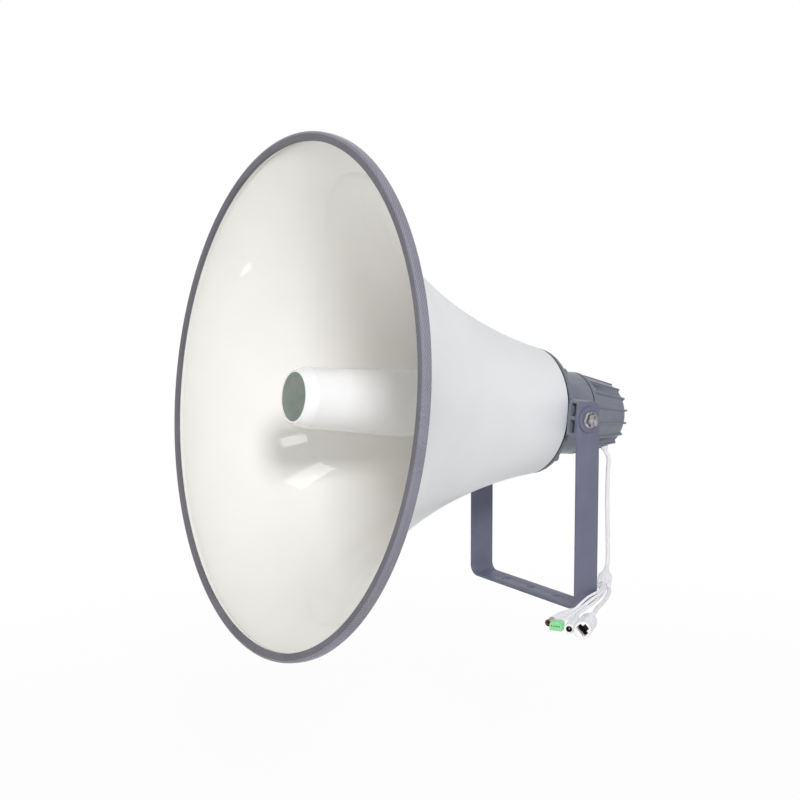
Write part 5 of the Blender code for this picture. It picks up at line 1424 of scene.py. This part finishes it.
@dataclass(frozen=True)
class StrainRelief:
    """Moulded taper round a cable, with shallow grooves, from the connector's rear face."""

    cable: float
    rear_wall: float
    wall: float
    radius: float
    start: float
    length: float
    grooves: int
    depth: float

    def profile(self) -> Array:
        """Rear face, then the grooved taper.

        With low the cable's radius plus the wall, the taper's radius at share t is
        low + (radius - low) t - depth (1 - cos(2 pi grooves t)) / 2.

        Returns:
            Array (n, 2) of radius and height.
        """
        t = np.linspace(0, 1, self.grooves * 8 + 1)
        low = self.cable + self.wall
        dip = self.depth * (1 - np.cos(math.tau * self.grooves * t)) / 2
        taper = np.stack([low + (self.radius - low) * t - dip,
                          self.start + (self.length - self.start) * t], -1)
        return np.vstack([[(0, 0), (self.cable + self.rear_wall, 0)], taper])


@dataclass
class NetworkCoupler:
    """Round inline coupler with a keyed network port and a ribbed boot."""

    plug: Plug = Plug((0.1757, -0.0745, 0.0088), -51.4, 0.0570)
    boot: StrainRelief = StrainRelief(
        cable=0.0022, rear_wall=0.0006, wall=0.0009, radius=0.0057, start=0.0006,
        length=0.018, grooves=7, depth=0.0005)
    radius: float = 0.0086
    groove: float = 0.0007
    port_width: float = 0.0118
    port_height: float = 0.0068
    key_width: float = 0.0060
    key_height: float = 0.0034
    port_depth: float = 0.012
    port_lip: float = 0.0078
    roll: float = math.radians(48)
    window_at: tuple[float, float] = (0.35, 0.0095)
    window_half: tuple[float, float] = (0.16, 0.0016)
    window_depth: float = 0.0010
    contacts: int = 8
    contact_pitch: float = 0.00102
    contact_radius: float = 0.00022
    contact_route: tuple[tuple[float, float], ...] = (
        (0.0006, 0.0028), (0.0009, 0.0040), (0.0030, 0.0095), (0.0032, 0.0112))
    corner_step: float = 0.006
    even_columns: int = 120

    def port(self, angles: Array) -> Array:
        """Distance from the port's centre to its keyed outline.

        The outline is a rectangle with a narrower key on its top side. At an angle whose
        direction is (c, s), the ray leaves the rectangle at min(w / |c|, h / |s|), and on the
        key's side it goes on to min(key w / |c|, key top / s) where that lies beyond.

        Args:
            angles: angles round the body.

        Returns:
            The distance at each.
        """
        c, s = np.cos(angles + self.roll), np.sin(angles + self.roll)
        across, along = np.maximum(abs(c), TINY), np.maximum(abs(s), TINY)
        half, low = self.port_width / 2, self.port_height / 2
        box = np.minimum(half / across, low / along)
        key = np.minimum(self.key_width / 2 / across, (low + self.key_height) / np.maximum(s, TINY))
        return np.where(s > 0, np.maximum(box, key), box)

    def port_painted_shade(self, centres: Array) -> Array:
        """Tell the faces deeper than the port's lip, painted black as painted shade.

        Args:
            centres: face centres (m, 3) in the row frame.

        Returns:
            True for each face of the dark part.
        """
        place = np.array(self.plug.place())
        x, y, z = np.moveaxis((centres - place[:3, 3]) @ place[:3, :3], -1, 0)
        end = self.plug.length
        deep = (z < end - self.port_lip) & (z > end - self.port_depth - 0.001)
        return (np.hypot(x, y) < self.radius - 0.0010) & deep

    def corner_angles(self) -> Array:
        """Angles of the outline's eight corners, so that the grid keeps them crisp.

        Returns:
            The angles, from 0 to a full turn.
        """
        half, low = self.port_width / 2, self.port_height / 2
        x = np.array([half, half, self.key_width / 2, self.key_width / 2])
        y = np.array([-low, low, low, low + self.key_height])
        corner = np.arctan2(y, x)
        return (np.concatenate([corner, math.pi - corner]) - self.roll) % math.tau

    def body(self) -> Surface:
        """Boot, cylinder with a groove round its front, a pressed window, and the port's walls.

        Returns:
            The body in the connector's coordinates.
        """
        near = self.corner_angles()
        angles = np.unique(np.concatenate([even_angles(self.even_columns), near,
                                           (near + self.corner_step) % math.tau]).round(5))
        end, r, foot = self.plug.length, self.radius, self.boot.length
        outside = np.vstack([
            self.boot.profile(),
            rounded([(self.boot.radius, foot), (r - 0.0004, foot + 0.0038), (r, foot + 0.0050),
                     (r, end - 0.0150)], [0, 0.001, 0.001, 0], closed=False)[1:],
            rounded([(r, end - 0.0149), (r - self.groove, end - 0.0146),
                     (r - self.groove, end - 0.0136), (r, end - 0.0133), (r, end - 0.0009),
                     (r - 0.0008, end)], [0, 0.0002, 0.0002, 0.0002, 0.0005, 0], closed=False)])
        rings = round_rings(outside, angles)
        turn, back = self.window_at
        half_turn, half_length = self.window_half
        window = (abs(rings[..., 1] - (end - back)) < half_length) & (
            abs((angles - turn + math.pi) % math.tau - math.pi) < half_turn)
        skin = rings[..., 0] > r - 0.0003
        rings[..., 0] -= np.where(window & skin, self.window_depth, 0)
        edge = self.port(angles)
        lip, floor = end - self.port_lip, end - self.port_depth
        hole = round_rings([(edge + 0.0002, end), (edge + 0.0001, end - 0.0001),
                            (edge, end - 0.0004), (edge, lip + 0.0001), (edge, lip - 0.0001),
                            (edge, floor), (0, floor)], angles)
        return ring_stack(np.concatenate([rings, hole]), angles)

    def wires(self) -> Surface:
        """Eight sprung contacts that slope from the port's front edge down to its floor.

        Returns:
            The contacts with the port's key on top, before the roll.
        """
        low, end = -self.port_height / 2, self.plug.length
        across = (np.arange(self.contacts) - (self.contacts - 1) / 2) * self.contact_pitch
        shells = [swept(smooth_route([(x, low + rise, end - depth)
                                      for rise, depth in self.contact_route], 5),
                        circle(self.contact_radius, 8), up=(1, 0.1, 0.05)) for x in across]
        return sum(shells[1:], shells[0])

    def make(self, dress: Dresser) -> list[bpy.types.Object]:
        """Build the body with its port, and the contacts in the port.

        Args:
            dress: where the pieces go.

        Returns:
            The body alone, because the contacts are fixed inside it.
        """
        place = self.plug.place()
        # The port's faces past its lip take the black: painted shade.
        skins = (dress.finishes.moulding, dress.finishes.black)
        piece = dress.add(self.body().moved(place), "network_coupler_body", skins, "bracket",
                          "cable_white", "network_coupler", sharp=42.0, paint=self.port_painted_shade)
        rolled = place @ Matrix.Rotation(-self.roll, 4, "Z")
        dress.add(self.wires().moved(rolled), "network_contacts", dress.finishes.gold, "bracket",
                  "nickel")
        return [piece]


@dataclass
class PowerJack:
    """Round direct-current socket with a ribbed boot and a centre pin."""

    plug: Plug = Plug((0.1560, -0.0745, 0.0053), -49.5, 0.0520)
    boot: StrainRelief = StrainRelief(
        cable=0.0016, rear_wall=0.0004, wall=0.0007, radius=0.0041, start=0.0005,
        length=0.016, grooves=6, depth=0.0004)
    radius: float = 0.0051
    bore: float = 0.0031
    bore_depth: float = 0.011
    lining: tuple[float, float] = (0.0001, 0.0004)
    pin_radius: float = 0.00105
    pin_setback: float = 0.0016

    def make(self, dress: Dresser) -> list[bpy.types.Object]:
        """Build the sleeve, a black lining in the bore as painted shade, and the pin.

        Args:
            dress: where the pieces go.

        Returns:
            The three pieces.
        """
        place, end = self.plug.place(), self.plug.length
        floor, radius = end - self.bore_depth, self.radius
        outside = np.vstack([
            self.boot.profile(),
            rounded([(self.boot.radius, 0.0161), (radius - 0.0002, 0.0185), (radius, 0.0195),
                     (radius, end), (self.bore, end), (self.bore, floor), (0, floor)],
                    [0, 0.0006, 0.0006, 0.0007, 0.0003, 0.0002, 0], 5, closed=False)])
        sleeve = dress.add(lathed(outside, 72).moved(place), "power_jack_body",
                           dress.finishes.moulding, "bracket", "cable_white", "power_jack",
                           sharp=42.0)
        # A thin black sheet just inside the bore: painted shade.
        outer, inner = (self.bore - step for step in self.lining)
        outline = rounded([(outer, end - 0.0006), (outer, floor + 0.0002),
                           (inner, floor + 0.0002), (inner, end - 0.0006)], 0.00005, 2)
        lining = dress.add(turned(outline, 48).moved(place @ UPRIGHT), "power_jack_lining",
                           dress.finishes.black, "bracket", "black_plastic", sharp=42.0)
        foot, tip = floor + FIT, end - self.pin_setback
        shape = rounded([(0, foot), (self.pin_radius, foot), (self.pin_radius, tip), (0, tip)],
                        [0, 0.0001, 0.0005, 0], 5, closed=False)
        pin = dress.add(lathed(shape, 32).moved(place), "power_pin_turned", dress.finishes.shell,
                        "bracket", "nickel", "power_pin")
        return [sleeve, pin, lining]


@dataclass
class TerminalPlug:
    """Pluggable four-way terminal block and the sleeve over its wires."""

    plug: Plug = Plug((0.1400, -0.0785, 0.0047), -58.0, 0.0095)
    block_edge: float = 0.00035
    boot: StrainRelief = StrainRelief(
        cable=0.0018, rear_wall=0.0004, wall=0.0007, radius=0.0034, start=0.0004,
        length=0.0072, grooves=4, depth=0.00035)
    sleeve_length: float = 0.016
    sleeve_height: float = 0.0040

    def make(self, dress: Dresser) -> list[bpy.types.Object]:
        """Round the block's edges and build the sleeve behind it.

        Args:
            dress: where the pieces go.

        Returns:
            The block and the sleeve.
        """
        block = dress.softened("terminal_block", dress.finishes.terminal, "bracket",
                               self.block_edge, 3)
        long, radius = self.sleeve_length, self.boot.radius
        shape = np.vstack([
            self.boot.profile(),
            rounded([(radius, long * 0.46), (radius, long), (0, long)], [0, 0.0006, 0],
                    closed=False)])
        place = self.plug.place(FIT + long)
        place.translation.z = self.sleeve_height
        sleeve = dress.add(lathed(shape, 48).moved(place), "terminal_sleeve_boot",
                           dress.finishes.moulding, "bracket", "cable_white", "terminal_sleeve",
                           sharp=42.0)
        return [block, sleeve]


@dataclass
class PhonoSocket:
    """Phono socket: nickel shell, coloured insert and a long tapered boot."""

    plug: Plug = Plug((0.1262, -0.0768, 0.0046), -66.0, 0.0095)
    radius: float = 0.0037
    shell: float = 0.0006
    foot: float = 0.0004
    base: float = 0.0012
    insert_bore: float = 0.0016
    boot: StrainRelief = StrainRelief(
        cable=0.0014, rear_wall=0.0004, wall=0.0008, radius=0.0042, start=0.0005,
        length=0.023, grooves=8, depth=0.00035)
    boot_length: float = 0.046
    collar: float = 0.0044

    def make(self, dress: Dresser) -> list[bpy.types.Object]:
        """Build the shell with a rolled mouth, the insert and the boot.

        Args:
            dress: where the pieces go.

        Returns:
            The three pieces.
        """
        place, end, radius = self.plug.place(), self.plug.length, self.radius
        inner, floor, foot = radius - self.shell, self.base, radius + self.foot
        outline = rounded([(0, 0), (foot, 0), (foot, 0.0014), (radius, 0.0018), (radius, end),
                           (inner, end), (inner, floor), (0, floor)],
                          [0, 0.0002, 0.0003, 0.0002, 0.00028, 0.00028, 0.0002, 0], closed=False)
        shell = dress.add(lathed(outline, 72).moved(place), "phono_shell", dress.finishes.shell,
                          "bracket", "nickel", "phono_sleeve")
        low, high, outer, bore = floor + FIT, end - 0.0008, inner - FIT, self.insert_bore
        ring = turned(rounded([(bore, low), (outer, low), (outer, high), (bore, high)], 0.0003, 3),
                      60)
        insert = dress.add(ring.moved(place @ UPRIGHT), "phono_insert_ring", dress.finishes.insert,
                           "bracket", "insert_red", "phono_insert")
        long = self.boot_length
        shape = np.vstack([
            self.boot.profile(),
            rounded([(self.boot.radius, long * 0.505), (self.collar, long * 0.62),
                     (self.collar, long), (0, long)], [0, 0.002, 0.0007, 0], 5, closed=False)])
        boot = dress.add(lathed(shape, 72).moved(self.plug.place(FIT + long)),
                         "phono_boot_moulding", dress.finishes.moulding, "bracket", "cable_white",
                         "phono_boot", sharp=42.0)
        return [shell, insert, boot]


@dataclass
class Grommet:
    """The strain relief that the trunk leaves the rear cover through."""

    origin: tuple[float, float, float] = (0.0159428, 0.0910158, 0.1572195)
    direction: tuple[float, float, float] = (0.4158643, 0.0759589, -0.9062492)
    bore: float = 0.0027
    neck: float = 0.0032
    flange: float = 0.0038
    flange_thickness: float = 0.0016
    spigot: float = 0.0028
    nose: float = 0.0042
    nose_wall: float = 0.0008
    seat: float = 0.0006

    def make(self, dress: Dresser) -> bpy.types.Object:
        """Turn the grommet's closed profile about the cable's direction.

        Args:
            dress: where the piece goes.

        Returns:
            The grommet.
        """
        outline = rounded([(self.bore, -self.spigot), (self.neck, -self.spigot),
                           (self.neck, self.seat), (self.flange, self.seat),
                           (self.flange, self.seat + self.flange_thickness),
                           (self.bore + self.nose_wall, self.nose), (self.bore, self.nose)],
                          [0.0002, 0.0002, 0.0001, 0.0003, 0.0006, 0.0003, 0.0002])
        place = aimed(self.origin, self.direction, (1, 0, 0))
        return dress.add(turned(outline, 60).moved(place @ UPRIGHT), "cable_grommet_ring",
                         dress.finishes.moulding, "horn", "rubber", "cable_grommet", sharp=42.0)


@dataclass
class BreakoutCable:
    """The trunk, the splitter, four tails and what is on their ends."""

    trunk: Cord = Cord("cable_trunk", 0.0024, 0.1421, (
        (0.01615, 0.09105, 0.15677), (0.01811, 0.09141, 0.15251), (0.0205, 0.0946, 0.143),
        (0.0225, 0.0921, 0.13), (0.024, 0.0904, 0.1), (0.026, 0.0897, 0.065),
        (0.03, 0.0872, 0.035), (0.0319, 0.08469, 0.02431), (0.03583, 0.08019, 0.02066)), "fitting")
    network: Cord = Cord("network_tail", 0.0022, 0.1312, (
        (0.05408, 0.06723, 0.00734), (0.05787, 0.06409, 0.00437), (0.0735, 0.0515, 0.0075),
        (0.093, 0.031, 0.0085), (0.108, 0.012, 0.0085), (0.124, -0.01, 0.009),
        (0.13621, -0.02503, 0.0088), (0.13995, -0.02972, 0.0088)))
    power: Cord = Cord("power_tail", 0.0016, 0.1264, (
        (0.05092, 0.06447, 0.00734), (0.05424, 0.0609, 0.00437), (0.07, 0.048, 0.01),
        (0.088, 0.03, 0.0115), (0.0995, 0.014, 0.011), (0.1075, -0.004, 0.008),
        (0.11814, -0.03017, 0.0053), (0.12203, -0.03473, 0.0053)))
    terminal: Cord = Cord("terminal_tail", 0.0018, 0.1509, (
        (0.04806, 0.06196, 0.00734), (0.05095, 0.05803, 0.00437), (0.069, 0.047, 0.0135),
        (0.089, 0.029, 0.0155), (0.1, 0.014, 0.015), (0.1045, -0.002, 0.012),
        (0.109, -0.018, 0.008), (0.12299, -0.05128, 0.004), (0.12617, -0.05637, 0.004)))
    phono: Cord = Cord("phono_tail", 0.0014, 0.1192, (
        (0.04543, 0.05966, 0.00734), (0.04792, 0.05538, 0.00437), (0.067, 0.0455, 0.0165),
        (0.088, 0.0285, 0.019), (0.099, 0.0125, 0.018), (0.101, -0.004, 0.014),
        (0.10094, -0.02007, 0.0046), (0.10338, -0.02555, 0.0046)))

    def make(self, dress: Dresser) -> None:
        """Build the pieces on the cords first, then each cord with its own pieces.

        Args:
            dress: where the pieces go.
        """
        grommet, splitter = Grommet().make(dress), Splitter().make(dress)
        ends = [(self.network, NetworkCoupler().make(dress)), (self.power, PowerJack().make(dress)),
                (self.terminal, TerminalPlug().make(dress)), (self.phono, PhonoSocket().make(dress))]
        self.trunk.make(dress, [grommet, splitter], blended=True)
        for cord, pieces in ends:
            cord.make(dress, pieces)


# Studio
class Reach(Enum):
    """What a lamp acts on: matt surfaces take its light, or glossy ones mirror its shape."""

    MATT = "matt"
    MIRRORED = "mirrored"


@dataclass(frozen=True)
class Lamp:
    """One rectangular softbox, aimed from a point toward another, that the camera never sees."""

    name: str
    at: tuple[float, float, float]
    toward: tuple[float, float, float]
    size: tuple[float, float]
    watts: float
    colour: str = "FFFFFF"
    reach: Reach = Reach.MATT

    def make(self) -> None:
        """Add the lamp, with its width level."""
        data = bpy.data.lights.new(self.name, "AREA")
        data.shape, data.size, data.size_y = "RECTANGLE", *self.size
        data.energy, data.color = self.watts, to_linear(self.colour)[:3]
        lamp = bpy.data.objects.new(self.name, data)
        aim = (Vector(self.toward) - Vector(self.at)).to_track_quat("-Z", "Y").to_matrix()
        lamp.matrix_world = Matrix.Translation(self.at) @ aim.to_4x4()
        lamp.visible_camera = False
        lamp.visible_diffuse = self.reach is Reach.MATT
        lamp.visible_glossy = self.reach is Reach.MIRRORED
        bpy.context.scene.collection.objects.link(lamp)


@dataclass
class Studio:
    """Camera at the photograph's angle, soft lamps and a plain pale floor."""

    camera_at: tuple[float, float, float] = (1.0973, -0.8651, 0.3696)
    right: tuple[float, float, float] = (0.53411, 0.84541, -0.00326)
    up: tuple[float, float, float] = (-0.09213, 0.06203, 0.99381)
    lens: float = 57.01
    sensor: float = 36.0
    far: float = 60.0
    sky: float = 0.34
    floor_z: float = -0.30
    floor_radius: float = 7.0
    floor_thickness: float = 0.01
    floor_grey: float = 0.86
    fade_over: tuple[float, float] = (0.6, 1.6)
    near_white: float = 0.96
    middle: tuple[float, float, float] = (0.0, -0.1, 0.2)

    def camera(self) -> None:
        """Place the camera from its right and up directions."""
        data = bpy.data.cameras.new("camera")
        data.lens, data.sensor_width, data.clip_end = self.lens, self.sensor, self.far
        camera = bpy.data.objects.new("camera", data)
        right, up = Vector(self.right), Vector(self.up)
        turn = Matrix((right, up, right.cross(up))).transposed().to_4x4()
        camera.matrix_world = Matrix.Translation(self.camera_at) @ turn
        bpy.context.scene.collection.objects.link(camera)
        bpy.context.scene.camera = camera

    def lamps(self) -> tuple[Lamp, ...]:
        """The four softboxes that light the horn and the four small ones that it mirrors.

        Returns:
            The eight lamps.
        """
        bell_low, bell_mid = (-0.11, -0.22, 0.13), (-0.14, -0.22, 0.17)
        return (
            # A small hard-edged key throws the tube's shadow; the others fill front, top and back.
            Lamp("key_softbox", (1.75, -0.92, 1.12), self.middle, (0.42, 0.42), 27.0, "FEFEFF"),
            Lamp("front_softbox", (0.2, -2.4, 0.6), self.middle, (1.3, 1.0), 10.0, "FFFCF3"),
            Lamp("top_softbox", (0.3, 0.0, 2.1), self.middle, (1.2, 1.0), 2.4, "F8F9FF"),
            Lamp("back_softbox", (-1.5, 2.0, 0.5), self.middle, (1.2, 1.0), 8.0),
            # Three lights mirrored by the bell's gloss, and one along the edging's outer side.
            Lamp("strip_reflection", (0.75, -1.06, 1.03), bell_mid, (0.24, 0.15), 0.95,
                 reach=Reach.MIRRORED),
            Lamp("window_reflection", (0.32, -0.81, 1.44), bell_low, (0.38, 0.25), 1.9,
                 reach=Reach.MIRRORED),
            Lamp("low_reflection", (-0.222, -1.042, -0.093), (-0.165, -0.265, 0.358),
                 (0.05, 0.08), 0.075, reach=Reach.MIRRORED),
            Lamp("edging_reflection", (1.09, 0.26, 0.06), (0.255, -0.30, 0.22), (0.16, 0.26), 1.0,
                 reach=Reach.MIRRORED))

    def looked_at(self, tree: bpy.types.NodeTree) -> Socket:
        """Tell whether the camera, a mirror-like reflection or glass looks at the surface.

        Args:
            tree: the node tree to add to.

        Returns:
            The socket of one where it does, else zero.
        """
        path = add_node(tree, "ShaderNodeLightPath")
        mirrored = add_node(tree, "ShaderNodeMath", {"operation": "MAXIMUM"},
                            {0: path.outputs["Is Glossy Ray"],
                             1: path.outputs["Is Transmission Ray"]})
        return add_node(tree, "ShaderNodeMath", {"operation": "MAXIMUM"},
                        {0: path.outputs["Is Camera Ray"], 1: mirrored.outputs[0]}).outputs[0]

    def world(self) -> None:
        """Even sky light on the object, and white where the camera or a reflection meets it."""
        world = bpy.data.worlds.new("studio")
        world.use_nodes = True
        tree = world.node_tree
        tree.nodes.clear()
        strength = add_node(tree, "ShaderNodeMix", {"data_type": "FLOAT", 2: self.sky, 3: 1.0},
                            {0: self.looked_at(tree)})
        sky = add_node(tree, "ShaderNodeBackground", {"Color": (1.0, 1.0, 1.0, 1.0)},
                       {"Strength": strength.outputs[0]})
        add_node(tree, "ShaderNodeOutputWorld", None, {"Surface": sky.outputs["Background"]})
        bpy.context.scene.world = world

    def floor(self) -> None:
        """A wide round floor, well below the object, that the camera sees as white.

        Near the object it takes a little shade: its own light goes from near_white to 1 of the
        view over fade_over metres from its centre, and the rest is matt grey.
        """
        radius, deep = self.floor_radius, self.floor_thickness
        surface = lathed([(0, -deep), (radius, -deep), (radius, 0.0), (0, 0.0)], 96)
        material = bpy.data.materials.new("pale_floor")
        material.use_nodes = True
        tree = material.node_tree
        tree.nodes.clear()
        matt = add_node(tree, "ShaderNodeBsdfDiffuse", {"Color": (*[self.floor_grey] * 3, 1.0)})
        white = add_node(tree, "ShaderNodeEmission",
                         {"Color": (1.0, 1.0, 1.0, 1.0), "Strength": 1.0})
        place = add_node(tree, "ShaderNodeTexCoord")
        far = add_node(tree, "ShaderNodeVectorMath", {"operation": "LENGTH"},
                       {0: place.outputs["Object"]})
        near, wide = self.fade_over
        fade = add_node(tree, "ShaderNodeMapRange",
                        {"interpolation_type": "SMOOTHSTEP", "From Min": near, "From Max": wide,
                         "To Min": self.near_white, "To Max": 1.0}, {"Value": far.outputs["Value"]})
        share = add_node(tree, "ShaderNodeMath", {"operation": "MULTIPLY"},
                         {0: self.looked_at(tree), 1: fade.outputs["Result"]})
        mixed = add_node(tree, "ShaderNodeMixShader", None,
                         {0: share.outputs[0], 1: matt.outputs[0], 2: white.outputs[0]})
        add_node(tree, "ShaderNodeOutputMaterial", None, {"Surface": mixed.outputs[0]})
        lowered = surface.moved(Matrix.Translation((0, 0, self.floor_z)))
        lowered.build("floor", [material])

    def make(self) -> None:
        """Set the camera, the sky, the floor and the lamps."""
        bpy.context.scene.view_settings.view_transform = "Standard"
        self.camera()
        self.world()
        self.floor()
        for lamp in self.lamps():
            lamp.make()


def main() -> None:
    logging.basicConfig(level=logging.INFO, format="%(name)s: %(message)s")
    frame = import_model()
    Studio().make()
    dress = Dresser(frame)
    for assembly in (BreakoutCable(), Bell(), Edging(), NoseTube(), RearHousing(), PivotHardware(),
                     Bracket()):
        LOG.info("building %s", type(assembly).__name__)
        assembly.make(dress)
    dress.carry_over()
    LOG.info("%d pieces made", len(dress.made))


if __name__ == "__main__":
    main()
